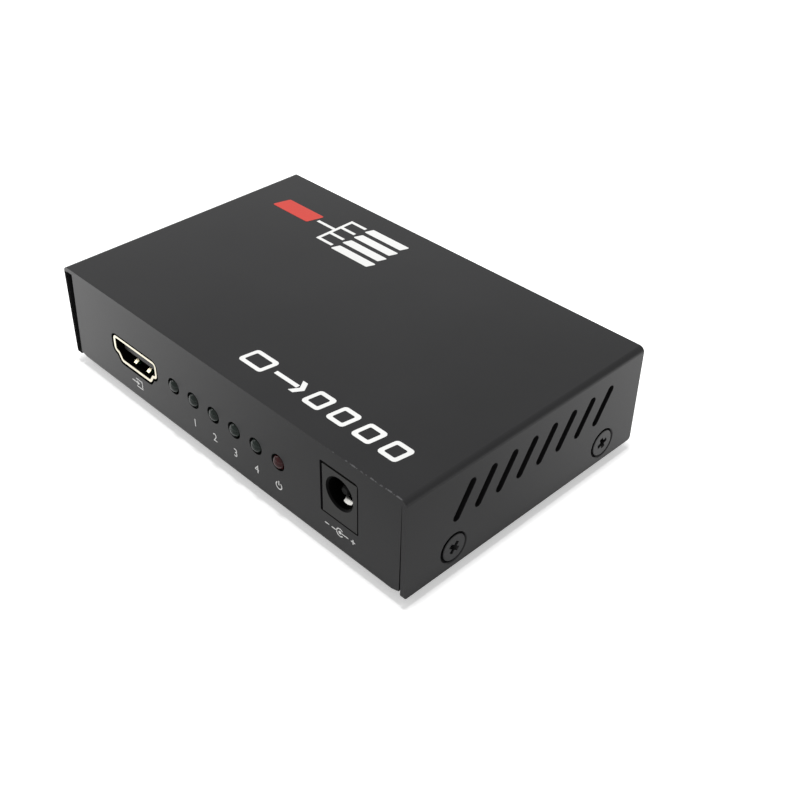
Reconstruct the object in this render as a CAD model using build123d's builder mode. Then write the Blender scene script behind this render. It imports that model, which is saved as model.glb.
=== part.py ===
from build123d import *
import os

os.makedirs("parts", exist_ok=True)

# Driving dimensions, in millimetres. The origin lies on the floor under the middle of the case.
# X runs along the width, the front panel faces -Y and +Z is up.

case_width = 104.0
case_depth = 65.0
case_height = 22.6
sheet = 1.0                 # steel of the cover and of the tray
bend_inside = 0.6           # inner radius of every fold
foot_height = 2.4
board_thickness = 1.6
standoff_height = 4.4
fit_gap = 0.05              # play of a piece in its own hole
hole_gap = 0.15             # play of a leg or a tail in the board
overrun = 1.0               # how far a cutting tool passes through a face
round_sides = 12            # small round pieces inside the case are prisms with this many sides

case_bottom = foot_height
case_top = case_bottom + case_height
bend_outside = bend_inside + sheet

# Planes of the tray, which everything inside is set out from

tray_lift = 0.2             # the tray's underside stands above the cover's lower edges
panel_recess = 0.2          # the panels stand inside the cover's ends
panel_side_gap = 0.5        # from a panel's side edge to the cover's wall
panel_top_gap = 0.15

tray_bottom = case_bottom + tray_lift
tray_floor = tray_bottom + sheet
tray_half_width = case_width / 2 - sheet - panel_side_gap
panel_face = case_depth / 2 - panel_recess
panel_inside = panel_face - sheet
panel_top = case_top - sheet - panel_top_gap
board_bottom = tray_floor + standoff_height
board_top = board_bottom + board_thickness

# Screws that hold the cover, two a side

cover_screw_radius = 1.5
cover_screw_length = 4.0
cover_screw_level = 4.5     # above the cover's lower edge
front_screw_setback = 12.3
rear_screw_setback = 10.1
dimple_radius = 3.2
dimple_rise = panel_side_gap
dimple_sides = 16           # dimples and screw heads are this many-sided
countersink_land = 0.1      # straight part at the narrow end of a countersink

cover_screw_rows = (front_screw_setback - case_depth / 2, case_depth / 2 - rear_screw_setback)
cover_screw_height = case_bottom + cover_screw_level
countersink_depth = sheet + dimple_rise
dimple_hole_radius = dimple_radius - countersink_depth + countersink_land


def wall_plane(side, y, z, depth):
    """Plane at a depth under the outer face of the right (1) or left (-1) wall, Z into the case."""
    origin = (side * (case_width / 2 - depth), y, z)
    return Plane(origin=origin, x_dir=(0, -side, 0), z_dir=(-side, 0, 0))


def cover_screw_planes(depth):
    """The four screw places, at a depth under the walls' outer faces."""
    return [wall_plane(side, y, cover_screw_height, depth) for side in (1, -1) for y in cover_screw_rows]


# Top cover: one folded sheet, the top and both side walls

slot_count = 8
slot_width = 1.8
slot_length = 8.8
slot_pitch = 5.55
slot_lean = 31.6            # degrees from upright, tops towards the back
slot_level = 14.5           # above the cover's lower edge
slot_row_shift = 1.4
slot_end_sides = 12         # a slot's round ends are halves of such a polygon
wall_corner_radius = 0.8


def slot_outline():
    """Outline of one vent slot, lying along X."""
    straight = slot_length - slot_width
    with BuildSketch() as outline:
        Rectangle(straight, slot_width)
        with GridLocations(straight, 0, 2, 1):
            RegularPolygon(slot_width / 2, slot_end_sides)
    return outline.sketch


with BuildPart() as top_cover:
    with BuildSketch(Plane.XZ) as cover_outside:
        with Locations((0, case_bottom)):
            Rectangle(case_width, case_height, align=(Align.CENTER, Align.MIN))
        fillet(cover_outside.vertices().group_by(Axis.Y)[-1], bend_outside)
    extrude(amount=case_depth / 2, both=True)
    with BuildSketch(Plane.XZ) as cover_inside:
        with Locations((0, case_bottom - overrun)):
            Rectangle(
                case_width - 2 * sheet,
                case_height - sheet + overrun,
                align=(Align.CENTER, Align.MIN),
            )
        fillet(cover_inside.vertices().group_by(Axis.Y)[-1], bend_inside)
    extrude(amount=case_depth / 2 + overrun, both=True, mode=Mode.SUBTRACT)
    fillet(top_cover.edges().filter_by(Axis.X).group_by(Axis.Z)[0], wall_corner_radius)

    # Pressed dimples, so that the countersunk heads sit under the wall's face
    with BuildSketch(*cover_screw_planes(sheet)):
        RegularPolygon(dimple_radius, dimple_sides)
    extrude(amount=dimple_rise)
    with BuildSketch(*cover_screw_planes(0)):
        RegularPolygon(dimple_hole_radius, dimple_sides)
    extrude(amount=countersink_depth + overrun, mode=Mode.SUBTRACT)
    for end in (0, -1):
        wall_edges = top_cover.edges().filter_by(GeomType.LINE).group_by(Axis.X)[end]
        hole_edges = wall_edges.filter_by(lambda edge: edge.length < dimple_radius)
        chamfer(hole_edges, countersink_depth - countersink_land)

    # Slanted vent slots through both walls
    for side in (1, -1):
        with BuildSketch(wall_plane(side, slot_row_shift, case_bottom + slot_level, -overrun)):
            with GridLocations(slot_pitch, 0, slot_count, 1):
                add(slot_outline(), rotation=90 + side * slot_lean)
        extrude(amount=sheet + 2 * overrun, mode=Mode.SUBTRACT)

top_cover.part.label = "top_cover"
export_step(top_cover.part, "parts/top_cover.step")

# Video sockets: the mouth's outline is a rectangle with two stepped lower corners

socket_width = 14.0
socket_height = 4.55
socket_side = 2.65          # upright part of each side, from the top
socket_shoulder = 1.1       # step in under each side
socket_shoulder_drop = 0.35
socket_floor_width = 9.8
socket_corner = 0.35        # cut off the six outward corners
shell_wall = 0.4
shell_depth = 11.5
rim_flare = 0.5
rim_depth = 0.7
rim_bevel = 0.4
cutout_gap = 0.35
mouth_recess = 0.1          # the rim stands inside the panel's outer face

input_x_share = -0.269      # of the case's width, from its middle
output_count = 4
output_pitch_share = 0.202  # from one output to the next, of the case's width


def socket_outline(grow):
    """Outline of a socket's mouth, wide side up and floor at Y 0, grown outwards."""
    half = socket_width / 2
    shoulder_top = socket_height - socket_side
    with BuildSketch() as outline:
        with BuildLine():
            Polyline(
                (-half, socket_height),
                (half, socket_height),
                (half, shoulder_top),
                (half - socket_shoulder, shoulder_top - socket_shoulder_drop),
                (socket_floor_width / 2, 0),
                (-socket_floor_width / 2, 0),
                (socket_shoulder - half, shoulder_top - socket_shoulder_drop),
                (-half, shoulder_top),
                close=True,
            )
        make_face()
        floor, steps, shoulders, roof = outline.vertices().group_by(Axis.Y)
        chamfer(floor + shoulders + roof, socket_corner)
        if grow:
            offset(amount=grow, kind=Kind.INTERSECTION)
    return outline.sketch


def mouth_plane(x, facing):
    """Plane of a port's mouth on the front (-1) or back (1) panel, Z out of it and Y up."""
    origin = (x, facing * (panel_face - mouth_recess), board_top + shell_wall)
    return Plane(origin=origin, x_dir=(-facing, 0, 0), z_dir=(0, facing, 0))


ports = {"input_port": mouth_plane(input_x_share * case_width, -1)}
for index in range(output_count):
    output_x = (index - (output_count - 1) / 2) * output_pitch_share * case_width
    ports[f"output_port_{index + 1}"] = mouth_plane(output_x, 1)

# Board legs of a shell, two a side

leg_width = 1.4
leg_setbacks = (4.0, 9.6)   # behind the mouth
leg_overlap = 1.2           # how far a leg reaches up the shell's side
leg_stickout = 0.8          # under the board

# Spring fingers, two in the roof and two in the floor

finger_width = 1.8
finger_slit = 0.3
finger_front = 2.3          # behind the mouth
finger_bow = 3.4
finger_root = 6.8
finger_thickness = 0.25
finger_reach = 0.4          # into the socket at the bow
finger_lead = 0.1           # the tip lies this far outside the socket's face
roof_finger_x = 3.7
floor_finger_x = 2.6


def finger_profile(face, outwards):
    """Side view of a finger whose wall's inner face is at a height; outwards is 1 for the roof."""
    rest = face + outwards * (shell_wall - finger_thickness)
    bow = face - outwards * finger_reach
    tip = face + outwards * finger_lead
    step = outwards * finger_thickness
    with BuildSketch() as side_view:
        with BuildLine():
            Polyline(
                (-finger_root - finger_slit, rest),
                (-finger_bow, bow),
                (-finger_front, tip),
                (-finger_front, tip + step),
                (-finger_bow, bow + step),
                (-finger_root - finger_slit, rest + step),
                close=True,
            )
        make_face()
    return side_view.sketch


def make_shell(mouth):
    """Drawn shell: flared rim, straight sleeve, four legs and four bowed fingers."""
    depth_axis = Axis(mouth.origin, mouth.z_dir)
    with BuildPart() as shell:
        with BuildSketch(mouth):
            add(socket_outline(shell_wall + rim_flare))
        extrude(amount=-rim_depth)
        chamfer(shell.faces().sort_by(depth_axis)[0].edges(), rim_bevel)
        with BuildSketch(mouth.offset(-rim_depth)):
            add(socket_outline(shell_wall))
        extrude(amount=rim_depth - shell_depth)
        with BuildSketch(mouth):
            add(socket_outline(0))
        extrude(amount=-(shell_depth + overrun), mode=Mode.SUBTRACT)
        rim_face = shell.faces().sort_by(depth_axis)[-1]
        chamfer(rim_face.inner_wires()[0].edges(), rim_bevel)

        leg_foot = -(shell_wall + board_thickness + leg_stickout)
        leg_head = socket_height - socket_side + leg_overlap
        for setback in leg_setbacks:
            with BuildSketch(mouth.offset(-setback)):
                for side in (-1, 1):
                    with Locations((side * (socket_width + shell_wall) / 2, leg_foot)):
                        Rectangle(shell_wall, leg_head - leg_foot, align=(Align.CENTER, Align.MIN))
            extrude(amount=leg_width / 2, both=True)

        for centre, face, outwards in ((roof_finger_x, socket_height, 1), (floor_finger_x, 0, -1)):
            window_middle = -(finger_front - finger_slit + finger_root) / 2
            window_length = finger_root - finger_front + finger_slit
            window_level = face + outwards * shell_wall / 2
            for side in (-1, 1):
                with Locations(mouth.location * Location((side * centre, window_level, window_middle))):
                    Box(
                        finger_width + 2 * finger_slit,
                        shell_wall + 2 * finger_slit,
                        window_length,
                        mode=Mode.SUBTRACT,
                    )
                middle = mouth.from_local_coords((side * centre, 0, 0))
                side_plane = Plane(origin=middle, x_dir=mouth.z_dir, z_dir=-mouth.x_dir)
                with BuildSketch(side_plane):
                    add(finger_profile(face, outwards))
                extrude(amount=finger_width / 2, both=True)
    return shell


# The insulator closes the shell's back and carries the tongue with its two rows of contacts

block_front = 7.0           # behind the mouth
tongue_front = 1.3
tongue_width = 11.6
tongue_thickness = 1.2
tongue_level = 1.8          # underside above the socket's floor
contact_width = 0.35
contact_thickness = 0.15
contact_pitch = 1.0
contact_setback = 0.5       # from the tongue's tip
tail_setback = 0.4          # first row of tails behind the shell
tail_spacing = 0.8
upper_count = 10
lower_count = 9
channel_margin = 0.3

tongue_top = tongue_level + tongue_thickness


def make_insulator(mouth):
    """Moulded block with its tongue, and one channel for each row of contacts."""
    with BuildPart() as insulator:
        with BuildSketch(mouth.offset(-block_front)):
            add(socket_outline(-fit_gap))
        extrude(amount=block_front - shell_depth)
        with BuildSketch(mouth.offset(-tongue_front)):
            with Locations((0, tongue_level)):
                Rectangle(tongue_width, tongue_thickness, align=(Align.CENTER, Align.MIN))
        extrude(amount=tongue_front - shell_depth)
        channel = (upper_count - 1) * contact_pitch + contact_width + 2 * channel_margin
        with BuildSketch(mouth.offset(-block_front + overrun)):
            for level in (tongue_top, tongue_level - contact_thickness):
                with Locations((0, level)):
                    Rectangle(channel, contact_thickness, align=(Align.CENTER, Align.MIN))
        extrude(amount=block_front - shell_depth - 2 * overrun, mode=Mode.SUBTRACT)
    return insulator


def make_contacts(mouth):
    """Two rows of flat contacts, each running back along the tongue and down to the board."""
    with BuildPart() as contacts:
        rows = (
            (upper_count, tongue_top, shell_depth + tail_setback + tail_spacing),
            (lower_count, tongue_level - contact_thickness, shell_depth + tail_setback),
        )
        for count, level, tail in rows:
            blade_front = tongue_front + contact_setback
            with BuildSketch(mouth.offset(-blade_front)):
                with Locations((0, level)):
                    with GridLocations(contact_pitch, 0, count, 1):
                        Rectangle(contact_width, contact_thickness, align=(Align.CENTER, Align.MIN))
            extrude(amount=blade_front - tail - contact_thickness)
            with BuildSketch(mouth.offset(-tail)):
                with Locations((0, -shell_wall)):
                    with GridLocations(contact_pitch, 0, count, 1):
                        Rectangle(contact_width, level + shell_wall, align=(Align.CENTER, Align.MIN))
            extrude(amount=-contact_thickness)
    return contacts


for name, mouth in ports.items():
    port_shell = make_shell(mouth)
    port_shell.part.label = f"{name}_shell"
    export_step(port_shell.part, f"parts/{name}_shell.step")
    port_insulator = make_insulator(mouth)
    port_insulator.part.label = f"{name}_insulator"
    export_step(port_insulator.part, f"parts/{name}_insulator.step")
    port_contacts = make_contacts(mouth)
    port_contacts.part.label = f"{name}_contacts"
    export_step(port_contacts.part, f"parts/{name}_contacts.step")

# Lamps: 3 mm lenses with their axes level, on leads bent down into the board

lamp_count = 6
lamp_pitch_share = 0.0628   # from one lamp to the next, of the case's width
lamp_row_share = 0.021      # middle of the row, of the case's width
lamp_level = 3.4            # above the board
lamp_radius = 1.5
lamp_length = 5.3
lamp_flange_radius = 1.9
lamp_flange_thickness = 1.0
lamp_recess = 0.1           # the dome's tip stands inside the panel's outer face
lamp_hole_radius = 1.7
lamp_sides = 16             # the small lenses and their holes are this many-sided
lamp_tip_cuts = (0.8, 0.35)     # chamfers, one on the other, that round the tip
lead_size = 0.5
lead_spacing = 2.54
lead_run = 1.8              # from the flange to the bend

lamp_tip_y = -(panel_face - lamp_recess)
lead_y = lamp_tip_y + lamp_length + lead_run


def lamp_plane(index):
    """Plane at the tip of a lamp's dome, Z out of the front panel and Y up."""
    along_share = lamp_row_share + (index - (lamp_count - 1) / 2) * lamp_pitch_share
    x = along_share * case_width
    return Plane(origin=(x, lamp_tip_y, board_top + lamp_level), x_dir=(1, 0, 0), z_dir=(0, -1, 0))


for index in range(lamp_count):
    tip = lamp_plane(index)
    with BuildPart() as lamp_lens:
        with BuildSketch(tip.offset(-lamp_length)):
            RegularPolygon(lamp_flange_radius, lamp_sides)
        extrude(amount=lamp_flange_thickness)
        with BuildSketch(tip.offset(-lamp_length)):
            RegularPolygon(lamp_radius, lamp_sides)
        extrude(amount=lamp_length)
        for cut in lamp_tip_cuts:
            chamfer(lamp_lens.edges().group_by(Axis.Y)[0], cut)
    name = "power_lamp" if index == lamp_count - 1 else f"status_lamp_{index + 1}"
    lamp_lens.part.label = name
    export_step(lamp_lens.part, f"parts/{name}.step")

with BuildPart() as lamp_leads:
    for index in range(lamp_count):
        tip = lamp_plane(index)
        for side in (-1, 1):
            middle = tip.from_local_coords((side * lead_spacing / 2, 0, 0))
            with BuildSketch(Plane(origin=middle, x_dir=tip.z_dir, z_dir=-tip.x_dir)):
                foot = -(lamp_level + board_thickness + leg_stickout)
                back = -(lamp_length + lead_run)
                with BuildLine():
                    Polyline(
                        (-lamp_length, lead_size / 2),
                        (back - lead_size / 2, lead_size / 2),
                        (back - lead_size / 2, foot),
                        (back + lead_size / 2, foot),
                        (back + lead_size / 2, -lead_size / 2),
                        (-lamp_length, -lead_size / 2),
                        close=True,
                    )
                make_face()
            extrude(amount=lead_size / 2, both=True)

lamp_leads.part.label = "lamp_leads"
export_step(lamp_leads.part, "parts/lamp_leads.step")

# Power jack: moulded body, centre pin, sprung side contact and two fixed terminals

jack_x_share = 0.341        # of the case's width, from its middle
jack_width = 9.0
jack_height = 11.0
jack_depth = 14.2
jack_front_depth = 3.4
jack_axis_level = 6.5       # above the board
jack_bore_radius = 3.2
jack_bore_depth = 10.6
jack_bore_chamfer = 0.35
jack_cutout_gap = 0.35
pin_radius = 1.0
pin_shoulder_radius = 1.3   # where the pin passes through the body's rear wall
pin_setback = 1.2           # the pin's tip behind the mouth
pin_tip_chamfer = 0.3
tail_thickness = 0.8
tail_width = 2.2

jack_face = Plane(
    origin=(jack_x_share * case_width, -panel_face, board_top),
    x_dir=(1, 0, 0),
    z_dir=(0, -1, 0),
)
jack_axis = Plane(
    origin=jack_face.from_local_coords((0, jack_axis_level, 0)),
    x_dir=(1, 0, 0),
    z_dir=(0, -1, 0),
)

# The side contact is a leaf that lies in a pocket beside the bore. It turns about its root, and its
# bow stands in the bore until a plug pushes it out.

leaf_width = 2.4
leaf_thickness = 0.3
leaf_root_x = 3.7           # middle of its thickness, from the bore's axis
leaf_root_setback = 10.9    # behind the mouth
leaf_bow_setback = 4.0
leaf_tip_setback = 2.2
leaf_bow_x = 2.3            # face towards the axis, at rest
leaf_tip_x = 3.0
pocket_wall = 0.3           # left outside the pocket
pocket_front = 1.6          # behind the mouth
pocket_side_gap = 0.2
root_gap = 0.1
side_terminal_depth = 1.6
switch_terminal_setback = 8.0
switch_terminal_width = 2.0
switch_terminal_height = 2.2
switch_terminal_thickness = 0.5

pocket_back = leaf_root_setback + root_gap + side_terminal_depth
pocket_outside = jack_width / 2 - pocket_wall
pocket_half_width = leaf_width / 2 + pocket_side_gap

with BuildPart() as power_jack_body:
    with BuildSketch(jack_face):
        Rectangle(jack_width, jack_height, align=(Align.CENTER, Align.MIN))
    extrude(amount=-jack_front_depth)
    with BuildSketch(jack_face):
        Rectangle(jack_width, jack_axis_level, align=(Align.CENTER, Align.MIN))
        with Locations((0, jack_axis_level)):
            Circle(jack_width / 2)
    extrude(amount=-jack_depth)
    with Locations(jack_axis):
        Cylinder(
            radius=jack_bore_radius,
            height=jack_bore_depth,
            align=(Align.CENTER, Align.CENTER, Align.MAX),
            mode=Mode.SUBTRACT,
        )
    with BuildSketch(jack_axis):
        RegularPolygon(pin_shoulder_radius + fit_gap, round_sides)
    extrude(amount=-(jack_depth + overrun), mode=Mode.SUBTRACT)
    chamfer(
        power_jack_body.edges().filter_by(GeomType.CIRCLE).group_by(Axis.Y)[0],
        jack_bore_chamfer,
    )
    # Pocket of the leaf, closed outside
    with BuildSketch(jack_axis.offset(-pocket_front)):
        Rectangle(pocket_outside, 2 * pocket_half_width, align=(Align.MIN, Align.CENTER))
    extrude(amount=pocket_front - leaf_root_setback - root_gap, mode=Mode.SUBTRACT)
    # Slot of the side terminal, open downwards
    with BuildSketch(jack_axis.offset(-leaf_root_setback - root_gap)):
        with Locations((leaf_root_x, pocket_half_width)):
            Rectangle(
                leaf_thickness + 2 * fit_gap,
                pocket_half_width + jack_axis_level + overrun,
                align=(Align.CENTER, Align.MAX),
            )
    extrude(amount=-side_terminal_depth, mode=Mode.SUBTRACT)
    # Slot of the switch terminal in the underside
    with BuildSketch(jack_face.offset(-switch_terminal_setback)):
        with Locations((0, switch_terminal_height)):
            Rectangle(
                switch_terminal_thickness + 2 * fit_gap,
                switch_terminal_height + overrun,
                align=(Align.CENTER, Align.MAX),
            )
    extrude(amount=switch_terminal_width / 2 + fit_gap, both=True, mode=Mode.SUBTRACT)

power_jack_body.part.label = "power_jack_body"
export_step(power_jack_body.part, "parts/power_jack_body.step")

with BuildPart() as power_jack_pin:
    with Locations(jack_axis.offset(-pin_setback)):
        Cylinder(
            radius=pin_radius,
            height=jack_depth - pin_setback,
            align=(Align.CENTER, Align.CENTER, Align.MAX),
        )
    chamfer(power_jack_pin.edges().group_by(Axis.Y)[0], pin_tip_chamfer)
    with BuildSketch(jack_axis.offset(-jack_bore_depth)):
        RegularPolygon(pin_shoulder_radius, round_sides)
    extrude(amount=jack_bore_depth - jack_depth)
    with BuildSketch(jack_axis.offset(-jack_depth)):
        with Locations((0, pin_radius)):
            Rectangle(
                tail_width,
                pin_radius + jack_axis_level + board_thickness + leg_stickout,
                align=(Align.CENTER, Align.MAX),
            )
    extrude(amount=-tail_thickness)

power_jack_pin.part.label = "power_jack_pin"
export_step(power_jack_pin.part, "parts/power_jack_pin.step")

# Seen from above: local X is the depth behind the mouth, local Y the way out from the bore's axis
leaf_view = Plane(origin=jack_axis.origin, x_dir=(0, 1, 0), z_dir=(0, 0, -1))

with BuildPart() as power_jack_spring:
    with BuildSketch(leaf_view):
        with BuildLine():
            Polyline(
                (leaf_root_setback, leaf_root_x - leaf_thickness / 2),
                (leaf_bow_setback, leaf_bow_x),
                (leaf_tip_setback, leaf_tip_x),
                (leaf_tip_setback, leaf_tip_x + leaf_thickness),
                (leaf_bow_setback, leaf_bow_x + leaf_thickness),
                (leaf_root_setback, leaf_root_x + leaf_thickness / 2),
                close=True,
            )
        make_face()
    extrude(amount=leaf_width / 2, both=True)

power_jack_spring.part.label = "power_jack_spring"
export_step(power_jack_spring.part, "parts/power_jack_spring.step")

with BuildPart() as power_jack_side_terminal:
    with BuildSketch(jack_axis.offset(-leaf_root_setback - root_gap)):
        with Locations((leaf_root_x, leaf_width / 2)):
            Rectangle(
                leaf_thickness,
                leaf_width / 2 + jack_axis_level + board_thickness + leg_stickout,
                align=(Align.CENTER, Align.MAX),
            )
    extrude(amount=-side_terminal_depth)

power_jack_side_terminal.part.label = "power_jack_side_terminal"
export_step(power_jack_side_terminal.part, "parts/power_jack_side_terminal.step")

with BuildPart() as power_jack_switch_terminal:
    with BuildSketch(jack_face.offset(-switch_terminal_setback)):
        with Locations((0, switch_terminal_height)):
            Rectangle(
                switch_terminal_thickness,
                switch_terminal_height + board_thickness + leg_stickout,
                align=(Align.CENTER, Align.MAX),
            )
    extrude(amount=switch_terminal_width / 2, both=True)

power_jack_switch_terminal.part.label = "power_jack_switch_terminal"
export_step(power_jack_switch_terminal.part, "parts/power_jack_switch_terminal.step")

# Standoffs with six-sided heads pressed into the tray, and the board's screws in them

standoff_radius = 2.4
standoff_head_radius = 3.0
standoff_head_sides = 6
standoff_side_setback = 3.5     # from the board's side edges
standoff_end_setback = 16.5     # from its front and back edges
board_side_gap = 2.5            # board to the ears' inner faces
board_end_gap = 1.3             # board to the panels
board_screw_radius = 1.5
board_screw_length = 5.0
board_screw_head_radius = 2.75
board_screw_head_height = 1.9
board_screw_head_edge = 0.8
board_hole_radius = 1.7

board_width = 2 * (tray_half_width - sheet - board_side_gap)
board_depth = 2 * (panel_inside - board_end_gap)
standoff_x = board_width / 2 - standoff_side_setback
standoff_y = board_depth / 2 - standoff_end_setback
standoff_spots = [(sx * standoff_x, sy * standoff_y) for sx in (-1, 1) for sy in (-1, 1)]

# Base tray: one folded sheet, the bottom, both panels and four ears for the cover's screws

panel_lean = 0.4                # each side edge leans in by this much towards the top
relief_height = 1.3
ear_height = 7.6
ear_length = 12.0
ear_corner = 1.5

ear_line = tray_half_width - bend_outside
ear_top = tray_bottom + ear_height

with BuildPart() as base_tray:
    with BuildSketch(Plane.YZ) as tray_outside:
        with Locations((0, tray_bottom)):
            Rectangle(2 * panel_face, panel_top - tray_bottom, align=(Align.CENTER, Align.MIN))
        fillet(tray_outside.vertices().group_by(Axis.Y)[0], bend_outside)
    extrude(amount=tray_half_width, both=True)
    with BuildSketch(Plane.YZ) as tray_inside:
        with Locations((0, tray_floor)):
            Rectangle(2 * panel_inside, panel_top, align=(Align.CENTER, Align.MIN))
        fillet(tray_inside.vertices().group_by(Axis.Y)[0], bend_inside)
    extrude(amount=tray_half_width + overrun, both=True, mode=Mode.SUBTRACT)

    # Leaning side edges of the panels
    with BuildSketch(Plane.XZ):
        for side in (-1, 1):
            with BuildLine():
                Polyline(
                    (side * tray_half_width, tray_bottom + bend_outside),
                    (side * (tray_half_width - panel_lean), panel_top),
                    (side * (tray_half_width - panel_lean), panel_top + overrun),
                    (side * (tray_half_width + overrun), panel_top + overrun),
                    (side * (tray_half_width + overrun), tray_bottom + bend_outside),
                    close=True,
                )
            make_face()
    extrude(amount=case_depth, both=True, mode=Mode.SUBTRACT)

    # Side edges of the bottom, which also relieve the folds' ends
    with BuildSketch(Plane.XY.offset(tray_bottom - overrun)):
        for side in (-1, 1):
            with Locations((side * (ear_line + (bend_outside + overrun) / 2), 0)):
                Rectangle(bend_outside + overrun, case_depth)
    extrude(amount=overrun + relief_height, mode=Mode.SUBTRACT)

    # Ears, each folded up from the bottom's side edge
    for y in cover_screw_rows:
        for side in (-1, 1):
            with BuildSketch(Plane.XZ.offset(-y)) as ear:
                with BuildLine():
                    Polyline(
                        (side * (ear_line - overrun), tray_bottom),
                        (side * tray_half_width, tray_bottom),
                        (side * tray_half_width, ear_top),
                        (side * (tray_half_width - sheet), ear_top),
                        (side * (tray_half_width - sheet), tray_floor),
                        (side * (ear_line - overrun), tray_floor),
                        close=True,
                    )
                make_face()
                outer = ear.vertices().sort_by_distance((side * tray_half_width, tray_bottom))[0]
                fillet(outer, bend_outside)
                inner = ear.vertices().sort_by_distance(
                    (side * (tray_half_width - sheet), tray_floor)
                )[0]
                fillet(inner, bend_inside)
            extrude(amount=ear_length / 2, both=True)
    ear_corners = base_tray.edges().filter_by(Axis.X).filter_by_position(
        Axis.Z, ear_top - fit_gap, ear_top + fit_gap
    )
    chamfer(ear_corners, ear_corner)
    with BuildSketch(*cover_screw_planes(sheet + panel_side_gap)):
        RegularPolygon(cover_screw_radius + fit_gap, dimple_sides)
    extrude(amount=sheet + overrun, both=True, mode=Mode.SUBTRACT)

    # Openings of the ports, the lamps and the jack
    for mouth in ports.values():
        with BuildSketch(mouth.offset(mouth_recess + overrun)):
            add(socket_outline(shell_wall + rim_flare + cutout_gap))
        extrude(amount=-(sheet + 2 * overrun), mode=Mode.SUBTRACT)
    with BuildSketch(*[lamp_plane(index) for index in range(lamp_count)]):
        RegularPolygon(lamp_hole_radius, lamp_sides)
    extrude(amount=sheet + overrun, both=True, mode=Mode.SUBTRACT)
    with BuildSketch(jack_face.offset(overrun)):
        with Locations((0, -jack_cutout_gap)):
            Rectangle(
                jack_width + 2 * jack_cutout_gap,
                jack_height + 2 * jack_cutout_gap,
                align=(Align.CENTER, Align.MIN),
            )
    extrude(amount=-(sheet + 2 * overrun), mode=Mode.SUBTRACT)

    # Holes that the standoffs' heads are pressed into
    with BuildSketch(Plane.XY.offset(tray_bottom - overrun)):
        with Locations(*standoff_spots):
            RegularPolygon(standoff_head_radius + fit_gap, standoff_head_sides)
    extrude(amount=sheet + 2 * overrun, mode=Mode.SUBTRACT)

base_tray.part.label = "base_tray"
export_step(base_tray.part, "parts/base_tray.step")

# Feet, stuck under the tray's corners

foot_radius = 4.0
foot_sides = 24
foot_edge = 0.5
foot_setback = 10.0             # from the case's sides
foot_corners = {
    "rubber_foot_front_left": (-1, -1),
    "rubber_foot_front_right": (1, -1),
    "rubber_foot_back_left": (-1, 1),
    "rubber_foot_back_right": (1, 1),
}

for name, (side, end) in foot_corners.items():
    with BuildPart() as rubber_foot:
        with BuildSketch():
            with Locations((side * (case_width / 2 - foot_setback), end * (case_depth / 2 - foot_setback))):
                RegularPolygon(foot_radius, foot_sides)
        extrude(amount=tray_bottom)
        chamfer(rubber_foot.edges().group_by(Axis.Z)[0], foot_edge)
    rubber_foot.part.label = name
    export_step(rubber_foot.part, f"parts/{name}.step")

with BuildPart() as board_standoffs:
    with BuildSketch(Plane.XY.offset(tray_bottom)):
        with Locations(*standoff_spots):
            RegularPolygon(standoff_head_radius, standoff_head_sides)
    extrude(amount=sheet)
    with BuildSketch(Plane.XY.offset(tray_floor)):
        with Locations(*standoff_spots):
            RegularPolygon(standoff_radius, round_sides)
    extrude(amount=standoff_height)
    with BuildSketch(Plane.XY.offset(board_bottom)):
        with Locations(*standoff_spots):
            RegularPolygon(board_screw_radius + fit_gap, round_sides)
    extrude(amount=-standoff_height, mode=Mode.SUBTRACT)

board_standoffs.part.label = "board_standoffs"
export_step(board_standoffs.part, "parts/board_standoffs.step")

# Screws: countersunk ones for the cover, pan-headed ones for the board

cover_screw_sink = 0.3          # its head lies under the wall's face

cover_head_height = countersink_depth - cover_screw_sink
cover_head_radius = cover_screw_radius + cover_head_height
cover_head_inside = case_width / 2 - cover_screw_sink - cover_head_height

with BuildPart() as cover_screws:
    with BuildSketch(*cover_screw_planes(cover_screw_sink)):
        RegularPolygon(cover_head_radius, dimple_sides)
    extrude(amount=cover_head_height)
    head_edges = cover_screws.edges().filter_by_position(
        Axis.X, -cover_head_inside - fit_gap, cover_head_inside + fit_gap
    )
    chamfer(head_edges, cover_head_height - countersink_land)
    with BuildSketch(*cover_screw_planes(cover_screw_sink)):
        RegularPolygon(cover_screw_radius, dimple_sides)
    extrude(amount=cover_screw_length)

cover_screws.part.label = "cover_screws"
export_step(cover_screws.part, "parts/cover_screws.step")

with BuildPart() as board_screws:
    with BuildSketch(Plane.XY.offset(board_top)):
        with Locations(*standoff_spots):
            RegularPolygon(board_screw_head_radius, round_sides)
    extrude(amount=board_screw_head_height)
    chamfer(board_screws.edges().group_by(Axis.Z)[-1], board_screw_head_edge)
    with BuildSketch(Plane.XY.offset(board_top)):
        with Locations(*standoff_spots):
            RegularPolygon(board_screw_radius, round_sides)
    extrude(amount=-board_screw_length)

board_screws.part.label = "board_screws"
export_step(board_screws.part, "parts/board_screws.step")

# Main board, with a hole for every leg, lead and tail

board_corner = 1.0

leg_spots = [
    mouth.from_local_coords((side * (socket_width + shell_wall) / 2, 0, -setback))
    for mouth in ports.values()
    for side in (-1, 1)
    for setback in leg_setbacks
]
lead_spots = [
    (lamp_plane(index).origin.X + side * lead_spacing / 2, lead_y)
    for index in range(lamp_count)
    for side in (-1, 1)
]
pin_tail_spot = jack_face.from_local_coords((0, 0, -(jack_depth + tail_thickness / 2)))
side_terminal_setback = leaf_root_setback + root_gap + side_terminal_depth / 2
side_terminal_spot = jack_face.from_local_coords((leaf_root_x, 0, -side_terminal_setback))
switch_terminal_spot = jack_face.from_local_coords((0, 0, -switch_terminal_setback))

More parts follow.
